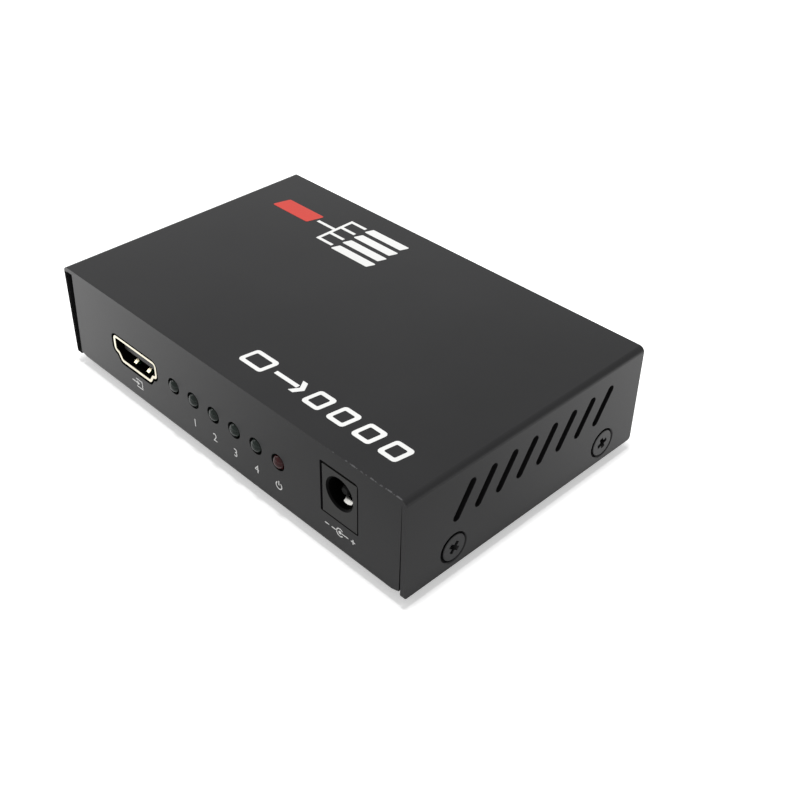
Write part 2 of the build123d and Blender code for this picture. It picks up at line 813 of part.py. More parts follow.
# Each kind of board hole: its places, and the size across and along of the leg that goes in
board_holes = (
    ([(spot.X, spot.Y) for spot in leg_spots], shell_wall, leg_width),
    (lead_spots, lead_size, lead_size),
    ([(pin_tail_spot.X, pin_tail_spot.Y)], tail_width, tail_thickness),
    ([(side_terminal_spot.X, side_terminal_spot.Y)], leaf_thickness, side_terminal_depth),
    (
        [(switch_terminal_spot.X, switch_terminal_spot.Y)],
        switch_terminal_thickness,
        switch_terminal_width,
    ),
)

with BuildPart() as main_board:
    with BuildSketch(Plane.XY.offset(board_bottom)) as board_outline:
        Rectangle(board_width, board_depth)
        chamfer(board_outline.vertices(), board_corner)
        with Locations(*standoff_spots):
            RegularPolygon(board_hole_radius, round_sides, mode=Mode.SUBTRACT)
        for spots, across, along in board_holes:
            with Locations(*spots):
                Rectangle(across + 2 * hole_gap, along + 2 * hole_gap, mode=Mode.SUBTRACT)
    extrude(amount=board_thickness)

main_board.part.label = "main_board"
export_step(main_board.part, "parts/main_board.step")

# Chips on the board: each a moulded body with flat pins along its sides

pin_thickness = 0.2
chip_lift = 0.1                 # a chip's body stands over the board

splitter_chip_size = 14.0
splitter_chip_height = 1.4
splitter_pin_count = 8          # along each of its four sides
splitter_pin_pitch = 1.4
splitter_pin_width = 0.5
splitter_pin_reach = 1.0
splitter_chip_shares = (0.021, 0.017)


def board_spot(shares):
    """Place on the board, from shares of its width and depth, measured from its middle."""
    return (shares[0] * board_width, shares[1] * board_depth)


with BuildPart() as splitter_chip:
    with BuildSketch(Plane.XY.offset(board_top + pin_thickness)):
        with Locations(board_spot(splitter_chip_shares)):
            Rectangle(splitter_chip_size, splitter_chip_size)
    extrude(amount=splitter_chip_height)
    chamfer(splitter_chip.edges().group_by(Axis.Z)[-1], pin_thickness)

splitter_chip.part.label = "splitter_chip"
export_step(splitter_chip.part, "parts/splitter_chip.step")


def chip_pins(x, y, across, count, pitch, width, reach, turned):
    """One row of flat pins on each of two opposite sides of a chip's body."""
    row = across / 2
    for side in (-1, 1):
        for index in range(count):
            along = (index - (count - 1) / 2) * pitch
            place = (x + along, y + side * row) if turned else (x + side * row, y + along)
            size = (width, reach) if turned else (reach, width)
            with Locations(place):
                Rectangle(*size)


with BuildPart() as splitter_chip_pins:
    with BuildSketch(Plane.XY.offset(board_top)):
        for turned in (False, True):
            chip_pins(
                *board_spot(splitter_chip_shares),
                splitter_chip_size,
                splitter_pin_count,
                splitter_pin_pitch,
                splitter_pin_width,
                2 * splitter_pin_reach,
                turned,
            )
    extrude(amount=pin_thickness)

splitter_chip_pins.part.label = "splitter_chip_pins"
export_step(splitter_chip_pins.part, "parts/splitter_chip_pins.step")

small_chip_width = 3.9
small_chip_length = 4.9
small_chip_height = 1.4
small_pin_pitch = 1.27
small_pin_width = 0.45
small_pin_reach = 1.1
small_pin_count = 4
small_chip_shares = {
    "memory_chip": (-0.149, 0.05),
    "controller_chip": (-0.149, -0.1),
    "regulator_chip": (0.213, -0.1),
}

for name, shares in small_chip_shares.items():
    with BuildPart() as small_chip:
        with BuildSketch(Plane.XY.offset(board_top)):
            chip_pins(
                *board_spot(shares),
                small_chip_width,
                small_pin_count,
                small_pin_pitch,
                small_pin_width,
                2 * small_pin_reach,
                False,
            )
        extrude(amount=pin_thickness)
        with BuildSketch(Plane.XY.offset(board_top + chip_lift)):
            with Locations(board_spot(shares)):
                Rectangle(small_chip_width, small_chip_length)
        extrude(amount=small_chip_height)
        chamfer(small_chip.edges().group_by(Axis.Z)[-1], pin_thickness)
    small_chip.part.label = name
    export_step(small_chip.part, f"parts/{name}.step")

# Choke, crystal, can capacitors and small parts

choke_size = 7.0
choke_height = 4.0
choke_corner = 1.6
choke_edge = 0.3
choke_shares = (0.319, -0.1)

with BuildPart() as power_choke:
    with BuildSketch(Plane.XY.offset(board_top)) as choke_outline:
        with Locations(board_spot(choke_shares)):
            Rectangle(choke_size, choke_size)
        chamfer(choke_outline.vertices(), choke_corner)
    extrude(amount=choke_height)
    chamfer(power_choke.edges().group_by(Axis.Z)[-1], choke_edge)

power_choke.part.label = "power_choke"
export_step(power_choke.part, "parts/power_choke.step")

crystal_length = 11.0
crystal_width = 4.6
crystal_height = 3.4
crystal_shares = (-0.277, 0.033)

with BuildPart() as clock_crystal:
    with BuildSketch(Plane.XY.offset(board_top)):
        with Locations(board_spot(crystal_shares)):
            SlotOverall(crystal_length, crystal_width)
    extrude(amount=crystal_height)

clock_crystal.part.label = "clock_crystal"
export_step(clock_crystal.part, "parts/clock_crystal.step")

chip_part_length = 1.6
chip_part_width = 0.8
chip_part_height = 0.6
chip_part_pitch = 3.0
termination_count = 4           # behind each port
termination_setback = 16.5      # from the panels' outer faces

can_radius = 3.15
can_height = 7.0
can_edge = 0.5
can_base = 6.6
can_base_height = 0.9
can_shares = ((0.213, 0.1), (0.309, 0.1))
input_can_x_share = -0.319
input_can_gap = 1.7             # from the input's termination resistors to the can behind them

input_can_y = termination_setback - panel_face + chip_part_length / 2 + input_can_gap + can_base / 2
can_spots = [board_spot(shares) for shares in can_shares]
can_spots.append((input_can_x_share * board_width, input_can_y))

for index, spot in enumerate(can_spots):
    with BuildPart() as can_capacitor:
        with BuildSketch(Plane.XY.offset(board_top)):
            with Locations(spot):
                Rectangle(can_base, can_base)
        extrude(amount=can_base_height)
        with BuildSketch(Plane.XY.offset(board_top)):
            with Locations(spot):
                RegularPolygon(can_radius, round_sides)
        extrude(amount=can_height)
        chamfer(can_capacitor.edges().group_by(Axis.Z)[-1], can_edge)
    can_capacitor.part.label = f"can_capacitor_{index + 1}"
    export_step(can_capacitor.part, f"parts/can_capacitor_{index + 1}.step")

with BuildPart() as termination_resistors:
    with BuildSketch(Plane.XY.offset(board_top)):
        for mouth in ports.values():
            facing = mouth.z_dir.Y
            with Locations((mouth.origin.X, facing * (panel_face - termination_setback))):
                with GridLocations(chip_part_pitch, 0, termination_count, 1):
                    Rectangle(chip_part_width, chip_part_length)
    extrude(amount=chip_part_height)

termination_resistors.part.label = "termination_resistors"
export_step(termination_resistors.part, "parts/termination_resistors.step")

lamp_resistor_setback = 11.0    # from the front panel's outer face

with BuildPart() as lamp_resistors:
    with BuildSketch(Plane.XY.offset(board_top)):
        for index in range(lamp_count):
            with Locations((lamp_plane(index).origin.X, lamp_resistor_setback - panel_face)):
                Rectangle(chip_part_width, chip_part_length)
    extrude(amount=chip_part_height)

lamp_resistors.part.label = "lamp_resistors"
export_step(lamp_resistors.part, "parts/lamp_resistors.step")
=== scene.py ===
from math import atan2, cos, pi, radians, sin, tan

import bmesh
import bpy
from mathutils import Matrix, Vector


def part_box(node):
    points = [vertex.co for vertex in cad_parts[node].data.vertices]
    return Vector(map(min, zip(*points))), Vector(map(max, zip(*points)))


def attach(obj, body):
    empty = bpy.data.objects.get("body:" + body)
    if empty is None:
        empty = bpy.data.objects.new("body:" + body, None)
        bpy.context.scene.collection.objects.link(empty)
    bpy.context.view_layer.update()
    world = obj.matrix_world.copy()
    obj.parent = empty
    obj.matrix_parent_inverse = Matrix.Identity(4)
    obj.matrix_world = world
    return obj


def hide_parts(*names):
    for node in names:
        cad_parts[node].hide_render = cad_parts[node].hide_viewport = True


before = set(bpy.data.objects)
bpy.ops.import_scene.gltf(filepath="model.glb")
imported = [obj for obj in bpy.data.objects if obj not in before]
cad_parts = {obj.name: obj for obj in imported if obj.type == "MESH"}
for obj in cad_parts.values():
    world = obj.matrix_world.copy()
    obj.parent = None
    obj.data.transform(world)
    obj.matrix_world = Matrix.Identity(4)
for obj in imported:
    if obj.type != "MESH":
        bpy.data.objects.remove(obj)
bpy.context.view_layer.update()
mm = 0.001

# The studio: a white table under soft lamps, seen by a camera that stands in front of the splitter's
# right corner and looks down at it, with the lens that the photograph was taken with.
image_size = 800
focal_px = 1168.78
optical_centre_px = (362, 375)
eye = Vector((150.02, -134.49, 152.45)) * mm
camera_heading = 46.78      # degrees from +Y towards -X
camera_pitch = 35.79        # degrees below level
camera_roll = -0.075
sensor_width = 36.0
nearest_seen = 10 * mm

camera_lens = bpy.data.cameras.new("camera")
camera_lens.sensor_width = sensor_width
camera_lens.lens = focal_px / image_size * sensor_width
camera_lens.shift_x = 0.5 - optical_centre_px[0] / image_size
camera_lens.shift_y = optical_centre_px[1] / image_size - 0.5
camera_lens.clip_start = nearest_seen
camera = bpy.data.objects.new("camera", camera_lens)
heading = Matrix.Rotation(radians(camera_heading), 4, "Z")
pitch = Matrix.Rotation(radians(90 - camera_pitch), 4, "X")
roll = Matrix.Rotation(radians(camera_roll), 4, "Z")
camera.matrix_world = Matrix.Translation(eye) @ heading @ pitch @ roll
bpy.context.scene.collection.objects.link(camera)
bpy.context.scene.camera = camera
bpy.context.scene.view_settings.view_transform = "Standard"

# Each soft lamp: its place, the place that it points at, its size in metres and its power in watts
lamps = {
    "overhead_panel": ((0.02, -0.02, 0.90), (0, 0, 0), 0.15, 6.6),
    "left_panel": ((-0.50, -0.25, 0.35), (0, 0, 0), 0.30, 0.5),
}
for name, (place, aim, size, power) in lamps.items():
    panel = bpy.data.lights.new(name, "AREA")
    panel.shape = "DISK"
    panel.size = size
    panel.energy = power
    lamp = bpy.data.objects.new(name, panel)
    lamp.location = place
    lamp.rotation_euler = (Vector(aim) - Vector(place)).to_track_quat("-Z", "Y").to_euler()
    bpy.context.scene.collection.objects.link(lamp)


def math_node(nodes, links, operation, *values):
    """The result of a sum of sockets and numbers."""
    node = nodes.new("ShaderNodeMath")
    node.operation = operation
    for socket, value in zip(node.inputs, values):
        if isinstance(value, bpy.types.NodeSocket):
            links.new(value, socket)
        else:
            socket.default_value = value
    return node.outputs[0]


def range_node(nodes, links, value, start, end, low, high):
    """Maps what lies between start and end onto low to high."""
    node = nodes.new("ShaderNodeMapRange")
    for label, number in (("From Min", start), ("From Max", end), ("To Min", low), ("To Max", high)):
        node.inputs[label].default_value = number
    links.new(value, node.inputs["Value"])
    return node.outputs["Result"]


def ray_is(nodes, links, *kinds):
    """1 for rays of any of these kinds, and 0 for the rest."""
    path = nodes.new("ShaderNodeLightPath")
    found = path.outputs[kinds[0]]
    for kind in kinds[1:]:
        found = math_node(nodes, links, "MAXIMUM", found, path.outputs[kind])
    return found


white = (1, 1, 1, 1)
room_light, room_seen = 0.34, 1.0       # the world as a light, and as seen directly or in a surface
world = bpy.data.worlds.new("studio")
bpy.context.scene.world = world
world.use_nodes = True
nodes, links = world.node_tree.nodes, world.node_tree.links
backdrop = nodes["Background"]
backdrop.inputs["Color"].default_value = white
seen = ray_is(nodes, links, "Is Camera Ray", "Is Glossy Ray", "Is Transmission Ray")
links.new(range_node(nodes, links, seen, 0.0, 1.0, room_light, room_seen), backdrop.inputs["Strength"])

table_half, table_cells = 4.0, 8
table_colour = (0.88, 0.88, 0.88, 1)
table_glow = 0.45                       # seen directly
mirror_glow = 1.34                      # seen in a surface, past the painted shadow off the near corner
painted_shadow_spot, painted_shadow_core, painted_shadow_edge = Vector((50, -45, 0)) * mm, 45 * mm, 141 * mm
bm = bmesh.new()
bmesh.ops.create_grid(bm, x_segments=table_cells, y_segments=table_cells, size=table_half)
table_mesh = bpy.data.meshes.new("table")
bm.to_mesh(table_mesh)
bm.free()
table = bpy.data.objects.new("table", table_mesh)
bpy.context.scene.collection.objects.link(table)
table_paint = bpy.data.materials.new("table_paint")
table_paint.use_nodes = True
nodes, links = table_paint.node_tree.nodes, table_paint.node_tree.links
nodes.clear()
table_white = nodes.new("ShaderNodeBsdfDiffuse")
table_white.inputs["Color"].default_value = table_colour
own_glow = nodes.new("ShaderNodeEmission")
own_glow.inputs["Color"].default_value = white
# Painted shadow: seen in reflections only, the table is dark off the near corner and brighter beyond
reach = nodes.new("ShaderNodeVectorMath")
reach.operation = "DISTANCE"
reach.inputs[1].default_value = painted_shadow_spot
links.new(nodes.new("ShaderNodeTexCoord").outputs["Object"], reach.inputs[0])
glow_past_painted_shadow = range_node(nodes, links, reach.outputs["Value"], painted_shadow_core, painted_shadow_edge, 0.0, mirror_glow)
mirrored = math_node(nodes, links, "MULTIPLY", ray_is(nodes, links, "Is Glossy Ray"), glow_past_painted_shadow)
seen = ray_is(nodes, links, "Is Camera Ray", "Is Transmission Ray")
links.new(math_node(nodes, links, "MULTIPLY_ADD", seen, table_glow, mirrored), own_glow.inputs["Strength"])
both = nodes.new("ShaderNodeAddShader")
links.new(table_white.outputs[0], both.inputs[0])
links.new(own_glow.outputs[0], both.inputs[1])
links.new(both.outputs[0], nodes.new("ShaderNodeOutputMaterial").inputs["Surface"])
table_mesh.materials.append(table_paint)

# Rubber feet: four black moulded pads, stuck under the tray's corners, with rounded edges and a shallow
# hollow below. Their fine grain and broad patches come from the group that every finish here shares.
grain_group = bpy.data.node_groups.new("surface_grain", "ShaderNodeTree")
noises = (("Grain per mm", "Grain", 3.0), ("Patches per mm", "Patch", 4.0))     # scale, result and detail
for label, _, _ in noises:
    grain_group.interface.new_socket(label, in_out="INPUT", socket_type="NodeSocketFloat")
for label in ("Grain", "Patch", "Mottle"):
    grain_group.interface.new_socket(label, in_out="OUTPUT", socket_type="NodeSocketFloat")
nodes, links = grain_group.nodes, grain_group.links
entry = nodes.new("NodeGroupInput")
leave = nodes.new("NodeGroupOutput")
place = nodes.new("ShaderNodeTexCoord").outputs["Object"]
mottle = 0.0
for scale, result, detail in noises:
    noise = nodes.new("ShaderNodeTexNoise")
    noise.inputs["Detail"].default_value = detail
    links.new(math_node(nodes, links, "DIVIDE", entry.outputs[scale], mm), noise.inputs["Scale"])
    links.new(place, noise.inputs["Vector"])
    links.new(noise.outputs["Fac"], leave.inputs[result])
    mottle = math_node(nodes, links, "MULTIPLY_ADD", noise.outputs["Fac"], 1 / len(noises), mottle)
links.new(mottle, leave.inputs["Mottle"])


class Finish:
    """A material under construction: its shader, and short ways to wire what varies over the surface."""

    def __init__(self, name, grain_per_mm=3.0, patches_per_mm=0.05):
        self.material = bpy.data.materials.new(name)
        self.material.use_nodes = True
        self.nodes = self.material.node_tree.nodes
        self.links = self.material.node_tree.links
        self.shader = self.nodes["Principled BSDF"]
        surface = self.nodes.new("ShaderNodeGroup")
        surface.node_tree = grain_group
        surface.inputs["Grain per mm"].default_value = grain_per_mm
        surface.inputs["Patches per mm"].default_value = patches_per_mm
        self.grain, self.patch, self.mottle = surface.outputs
        self.place = self.nodes.new("ShaderNodeTexCoord").outputs["Object"]
        parted = self.nodes.new("ShaderNodeSeparateXYZ")
        self.links.new(self.place, parted.inputs[0])
        self.x, self.y, self.z = parted.outputs

    def feed(self, socket, value):
        """Wires a socket to another, or sets it to a number or a linear colour."""
        if isinstance(value, bpy.types.NodeSocket):
            self.links.new(value, socket)
        elif isinstance(value, tuple):
            socket.default_value = (*value, 1)
        else:
            socket.default_value = value

    def set(self, **values):
        for label, value in values.items():
            self.shader.inputs[label.replace("_", " ")].default_value = value
        return self

    def to(self, label, value):
        self.feed(self.shader.inputs[label], value)
        return self

    def math(self, operation, *values):
        return math_node(self.nodes, self.links, operation, *values)

    def ranged(self, value, low, high, start=0.3, end=0.7):
        """Maps what lies between start and end onto low to high."""
        return range_node(self.nodes, self.links, value, start, end, low, high)

    def fade(self, coordinate, full, none):
        """1 where a coordinate has reached full, and 0 where it has reached none, in millimetres."""
        return self.ranged(coordinate, 1.0, 0.0, full * mm, none * mm)

    def noise(self, per_mm, detail):
        node = self.nodes.new("ShaderNodeTexNoise")
        node.inputs["Scale"].default_value = per_mm / mm
        node.inputs["Detail"].default_value = detail
        self.links.new(self.place, node.inputs["Vector"])
        return node.outputs["Fac"]

    def blend(self, factor, low, high):
        """A colour between two."""
        node = self.nodes.new("ShaderNodeMix")
        node.data_type = "RGBA"
        self.feed(node.inputs["Factor"], factor)
        self.feed(node.inputs[6], low)
        self.feed(node.inputs[7], high)
        return node.outputs[2]

    def bump(self, height, depth):
        """Raises the surface by depth, in millimetres, where height is 1."""
        node = self.nodes.new("ShaderNodeBump")
        node.inputs["Distance"].default_value = depth * mm
        self.links.new(height, node.inputs["Height"])
        return self.to("Normal", node.outputs["Normal"])


def mottled(name, dark, light, rough, depth, grain_per_mm, **constants):
    """A finish whose colour, gloss and surface vary a little, as one batch of a real material does."""
    made = Finish(name, grain_per_mm)
    made.to("Base Color", made.blend(made.ranged(made.mottle, 0.0, 1.0, start=0.35, end=0.65), dark, light))
    made.to("Roughness", made.ranged(made.patch, *rough)).bump(made.grain, depth)
    return made.set(**constants)


def box_mm(node):
    """A node's lowest and highest corners, in millimetres."""
    return [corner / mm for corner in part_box(node)]


crease = radians(50)


def put(name, bm):
    """A piece from a mesh drawn in millimetres."""
    for vertex in bm.verts:
        vertex.co *= mm
    mesh = bpy.data.meshes.new(name)
    bm.to_mesh(mesh)
    bm.free()
    mesh.shade_smooth()
    mesh.set_sharp_from_angle(angle=crease)
    obj = bpy.data.objects.new(name, mesh)
    bpy.context.scene.collection.objects.link(obj)
    return obj


def finished(obj, finish, stands_for=()):
    """Gives a piece its material and the case to move with, and hides the nodes that it stands for."""
    obj.data.materials.clear()
    obj.data.materials.append(finish.material)
    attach(obj, "case")
    if stands_for:
        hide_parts(*stands_for)
    return obj


def circle(x, y, radius, sides):
    turns = [2 * pi * k / sides for k in range(sides)]
    return [Vector((x + radius * cos(turn), y + radius * sin(turn))) for turn in turns]


def turned_on(bm, profile, sides, placed=Matrix.Identity(4)):
    """Adds a turned piece: the profile gives (radius, height) from one end to the other."""
    rings = []
    for radius, height in profile:
        points = circle(0, 0, radius, sides) if radius else [Vector((0, 0))]
        rings.append([bm.verts.new((point.x, point.y, height)) for point in points])
    faces = []
    for lower, upper in zip(rings, rings[1:]):
        for index in range(sides):
            corners = [lower[index % len(lower)], lower[(index + 1) % len(lower)]]
            corners += [upper[(index + 1) % len(upper)], upper[index % len(upper)]]
            kept = list(dict.fromkeys(corners))
            if len(kept) > 2:
                faces.append(bm.faces.new(kept))
    bmesh.ops.transform(bm, matrix=placed, verts=[vertex for ring in rings for vertex in ring])
    bmesh.ops.recalc_face_normals(bm, faces=faces)


rubber = mottled(
    "foot_rubber", (0.012, 0.012, 0.012), (0.022, 0.022, 0.022), (0.7, 0.85), 0.02, 4.0,
    Specular_IOR_Level=0.3,
)
foot_profile = (
    (0, 0.35), (2.9, 0.35), (3.1, 0.0), (3.6, 0.0), (3.85, 0.12), (4.0, 0.45), (4.0, 2.0), (0, 2.0),
)
foot_sides = 64
for name in ("front_left", "front_right", "back_left", "back_right"):
    low, high = box_mm(f"rubber_foot_{name}")
    middle = (low + high) / 2
    bm = bmesh.new()
    turned_on(bm, foot_profile, foot_sides, Matrix.Translation((middle.x, middle.y, 0)))
    finished(put(f"foot_pad_{name}", bm), rubber, stands_for=[f"rubber_foot_{name}"])

# Base tray: the bottom and both end panels are one steel blank, punched flat and folded up, with four
# ears for the cover's screws. It has the case's satin black paint, which is rubbed thin on the cover's
# front edge near the right corner. The front end of the cover's left wall has painted shade, black and
# dull, in place of the shadow in the gap beside the tray's front panel.
cover_low, cover_high = box_mm("top_cover")
tray_low, tray_high = box_mm("base_tray")

paint_dark, paint_light = (0.0136, 0.0136, 0.0142), (0.0174, 0.0174, 0.0181)
paint_fleck, paint_worn, painted_gap_shade = (0.04, 0.04, 0.041), (0.085, 0.085, 0.088), (0.0, 0.0, 0.0)
flecks = (0.66, 0.8)                            # where the grain becomes a fleck, from none to full
rub_reach, rub_drop = 0.3, 0.22                 # how far the rubbing goes back and down from the edge
rub_start, rub_full = 26, 46                    # and how it grows along the edge
rub_per_mm, rub_detail, rub_strength = 1.3, 5.0, 2.0
rub_patches, rub_bare = (0.45, 0.62), (0.2, 0.6)
end_reach, end_width, end_top = (0.02, 0.1), (1.1, 1.3), (1.3, 1.0)    # the painted shade, full and none
paint_gloss, paint_bump, paint_shine = (0.28, 0.33), 0.005, 0.145

paint = Finish("case_paint", grain_per_mm=5.0, patches_per_mm=0.03)
tone = paint.blend(paint.ranged(paint.patch, 0.0, 1.0), paint_dark, paint_light)
tone = paint.blend(paint.ranged(paint.grain, 0.0, 1.0, *flecks), tone, paint_fleck)
near_front = paint.fade(paint.y, cover_low.y, cover_low.y + rub_reach)
near_top = paint.fade(paint.z, cover_high.z, cover_high.z - rub_drop)
near_corner = paint.fade(paint.x, rub_full, rub_start)
rubbed = paint.math("MULTIPLY", near_front, paint.math("MULTIPLY", near_top, near_corner))
rub_noise = paint.ranged(paint.noise(rub_per_mm, rub_detail), 0.0, rub_strength, *rub_patches)
worn = paint.ranged(paint.math("MULTIPLY", rubbed, rub_noise), 0.0, 1.0, *rub_bare)
# Painted shade: the front end of the cover's left wall turns black, rough and metallic
at_end = paint.fade(paint.y, *(cover_low.y + reach for reach in end_reach))
at_left = paint.fade(paint.x, *(cover_low.x + width for width in end_width))
below_top = paint.fade(paint.z, *(cover_high.z - drop for drop in end_top))
painted_shade_at_left_end = paint.math("MULTIPLY", at_end, paint.math("MULTIPLY", at_left, below_top))
tone = paint.blend(worn, tone, paint_worn)
paint.to("Base Color", paint.blend(painted_shade_at_left_end, tone, painted_gap_shade))
paint.to("Roughness", paint.math("MAXIMUM", paint.ranged(paint.patch, *paint_gloss), painted_shade_at_left_end))
paint.to("Metallic", painted_shade_at_left_end)
paint.bump(paint.grain, paint_bump).set(Specular_IOR_Level=paint_shine)

sheet, sheet_edge = 1.0, 0.12
bend, ear_bend = 1.05, 1.6      # outer radii of the folds of the panels and of the ears
fold_steps = 8
tray_drop = 0.5                 # the tray's floor hangs this far below the cover's walls
tray_half = tray_high.x
panel_half = tray_high.y
tray_bottom = tray_low.z - tray_drop
panel_top = tray_high.z
tray_arc, ear_arc = bend * pi / 2, ear_bend * pi / 2
tray_flat = panel_half - bend
ear_line = tray_half - ear_bend
left_lean, right_lean = 1.15, -0.25     # the panels' ends lean in from the bend to their top edges
relief_height, relief_step, relief_rise, relief_foot = 1.3, 0.5, 0.7, 0.3
ear_height, ear_half, ear_corner, ear_root = 7.6, 6.0, 1.5, 0.1
cut_corner = 0.15
screw_rows = (-20.2, 22.4)
screw_level = 6.9
ear_hole, ear_hole_sides = 1.55, 28

socket_half, socket_height, socket_side = 7.0, 4.55, 2.65
shoulder, shoulder_drop, floor_half = 1.1, 0.35, 4.9
shoulder_top = socket_height - socket_side
roof_finger, floor_finger, window_half = 3.7, 2.3, 1.0
rim = 0.9                       # from the socket's face to the outside of its flared rim
outer_corner, inner_corner, inner_tightening, least_corner = 0.4, 0.5, 0.4, 0.1
right_of_mouth = (
    (floor_finger - window_half, 0), (floor_finger + window_half, 0), (floor_half, 0),
    (socket_half - shoulder, shoulder_top - shoulder_drop), (socket_half, shoulder_top),
    (socket_half, socket_height), (roof_finger + window_half, socket_height),
    (roof_finger - window_half, socket_height),
)
mouth_corners = right_of_mouth + tuple((-x, y) for x, y in reversed(right_of_mouth))

cutout_gap = 0.35
lamp_hole, lamp_hole_sides = 1.85, 36
jack_gaps = (0.6, 0.3, 0.3, 0.5)        # left, right, under and over the jack
jack_corners = (0.3, 0.3, 0.9, 0.4)     # of its hole, from the lower left one on
standoff_radius, standoff_play, standoff_sides = 3.0, 0.05, 6
tiny, cut_reach = 0.01, 1e-5            # what counts as no distance or turn, to the eye and to the cut


def up_panel(x, z, facing):
    """Place on the flat blank of a point at that height on the front (-1) or back (1) panel."""
    return Vector((x, facing * (tray_flat + tray_arc + z - tray_bottom - bend)))


def rounded(corners, steps=6):
    """Points of a closed outline whose corners, (x, y, radius), are rounded."""
    points = []
    for index, (x, y, radius) in enumerate(corners):
        here = Vector((x, y))
        if not radius:
            points.append(here)
            continue
        before = (Vector(corners[index - 1][:2]) - here).normalized()
        after = (Vector(corners[(index + 1) % len(corners)][:2]) - here).normalized()
        half = before.angle(after) / 2
        centre = here + (before + after).normalized() * (radius / sin(half))
        start = here + before * (radius / tan(half)) - centre
        end = here + after * (radius / tan(half)) - centre
        first = atan2(start.y, start.x)
        sweep = (atan2(end.y, end.x) - first + pi) % (2 * pi) - pi
        for step in range(steps + 1):
            angle = first + sweep * step / steps
            points.append(centre + Vector((cos(angle), sin(angle))) * radius)
    return points


def socket_loop(grow):
    """The mouth's outline grown by a distance, its outward corners rounder and its inward ones tighter."""
    count = len(mouth_corners)
    grown = []
    for index, corner in enumerate(mouth_corners):
        here = Vector(corner)
        before = (here - Vector(mouth_corners[index - 1])).normalized()
        after = (Vector(mouth_corners[(index + 1) % count]) - here).normalized()
        out_before = Vector((before.y, -before.x))
        out = (out_before + Vector((after.y, -after.x))).normalized()
        place = here + out * (grow / out.dot(out_before))
        turn = before.x * after.y - before.y * after.x
        radius = 0.0
        if turn > tiny:
            radius = outer_corner + grow
        elif turn < -tiny:
            radius = max(inner_corner - inner_tightening * grow, least_corner)
        grown.append((place.x, place.y, radius))
    return rounded(grown, steps=5)


def ring_of(bm, points, level=0.0):
    """Vertices of one closed loop, joined by edges."""
    loop = [bm.verts.new((point.x, point.y, level)) for point in points]
    for index, vertex in enumerate(loop):
        bm.edges.new((loop[index - 1], vertex))
    return loop


def cut_blank(loops, fold_lines=()):
    """A flat sheet with its holes, cut along the fold lines, (axis, place), so that it can bend there."""
    bm = bmesh.new()
    for loop in loops:
        ring_of(bm, loop)
    bmesh.ops.triangle_fill(bm, use_beauty=True, edges=bm.edges[:])
    for axis, place in fold_lines:
        point, normal = Vector((0, 0, 0)), Vector((0, 0, 0))
        point[axis], normal[axis] = place, 1
        geometry = bm.verts[:] + bm.edges[:] + bm.faces[:]
        bmesh.ops.bisect_plane(bm, geom=geometry, dist=cut_reach, plane_co=point, plane_no=normal)
    return bm


def face_up(bm, way):
    """Turns every face of a flat blank to the side that becomes the outside."""
    bm.normal_update()
    for face in bm.faces:
        if face.normal.z * way < 0:
            face.normal_flip()


def fold(place, depth, flat, radius):
    """Where a point of the sheet, a depth under its outer face, comes to lie: (out, up) from the flat."""
    arc = radius * pi / 2
    beyond = abs(place) - flat
    side = 1 if place > 0 else -1
    if beyond <= 0:
        return place, depth
    if beyond < arc:
        angle = beyond / radius
        return side * (flat + (radius - depth) * sin(angle)), radius - (radius - depth) * cos(angle)
    return side * (flat + radius - depth), radius + beyond - arc


def fold_places(flat, radius, axis):
    """The lines that divide both folds of a sheet into steps."""
    arc = radius * pi / 2
    return [(axis, side * (flat + arc * k / fold_steps)) for side in (-1, 1) for k in range(fold_steps + 1)]


edge_steps, edge_angle = 2, radians(38)


def bevelled(obj, edge):
    """Rounds a piece's edges."""
    rounding = obj.modifiers.new("rounded_edges", "BEVEL")
    rounding.width = edge * mm
    rounding.segments = edge_steps
    rounding.limit_method = "ANGLE"
    rounding.angle_limit = edge_angle
    return obj


def thickened(obj, thickness):
    """Gives a sheet its thickness, on the side away from its outer face."""
    thicken = obj.modifiers.new("sheet", "SOLIDIFY")
    thicken.thickness = thickness * mm
    thicken.offset = -1
    thicken.use_even_offset = True
    thicken.use_quality_normals = True
    return obj


def made_mesh(obj):
    """The piece's mesh with its modifiers in it."""
    bpy.context.view_layer.update()
    return bpy.data.meshes.new_from_object(obj.evaluated_get(bpy.context.evaluated_depsgraph_get()))


def drawn_again(*meshes):
    """Finished meshes, in metres, as one drawing in millimetres."""
    bm = bmesh.new()
    for mesh in meshes:
        bm.from_mesh(mesh)
        bpy.data.meshes.remove(mesh)
    for vertex in bm.verts:
        vertex.co /= mm
    return bm


same_flat, same_side = 0.99996, cos(radians(48))    # cosines between faces of one flat, and of one side


def settled(obj):
    """Applies the modifiers and turns every corner's normal to the widest flat beside it."""
    mesh = made_mesh(obj)
    bm = bmesh.new()
    bm.from_mesh(mesh)
    bm.faces.ensure_lookup_table()
    patch_of, areas = {}, []
    for face in bm.faces:
        if face.index in patch_of:
            continue
        patch_of[face.index] = len(areas)
        area, waiting = 0.0, [face]
        while waiting:
            here = waiting.pop()
            area += here.calc_area()
            for edge in here.edges:
                for other in edge.link_faces:
                    if other.index not in patch_of and here.normal.dot(other.normal) > same_flat:
                        patch_of[other.index] = len(areas)
                        waiting.append(other)
        areas.append(area)
    normals = []
    for face in bm.faces:
        for corner in face.verts:
            total = Vector((0, 0, 0))
            for other in corner.link_faces:
                if face.normal.dot(other.normal) > same_side:
                    total += other.normal * areas[patch_of[other.index]]
            normals.append(total.normalized() if total.length else face.normal)
    bm.free()
    mesh.shade_smooth()
    mesh.normals_split_custom_set([tuple(normal) for normal in normals])
    obj.modifiers.clear()
    obj.data = mesh
    return obj


ports = {"input_port": -1, "output_port_1": 1, "output_port_2": 1, "output_port_3": 1, "output_port_4": 1}
mouths = {}
for name, facing in ports.items():
    low, high = box_mm(f"{name}_shell")
    mouth_y = low.y if facing < 0 else high.y
    mouths[name] = Vector(((low.x + high.x) / 2, mouth_y, high.z - rim - socket_height))

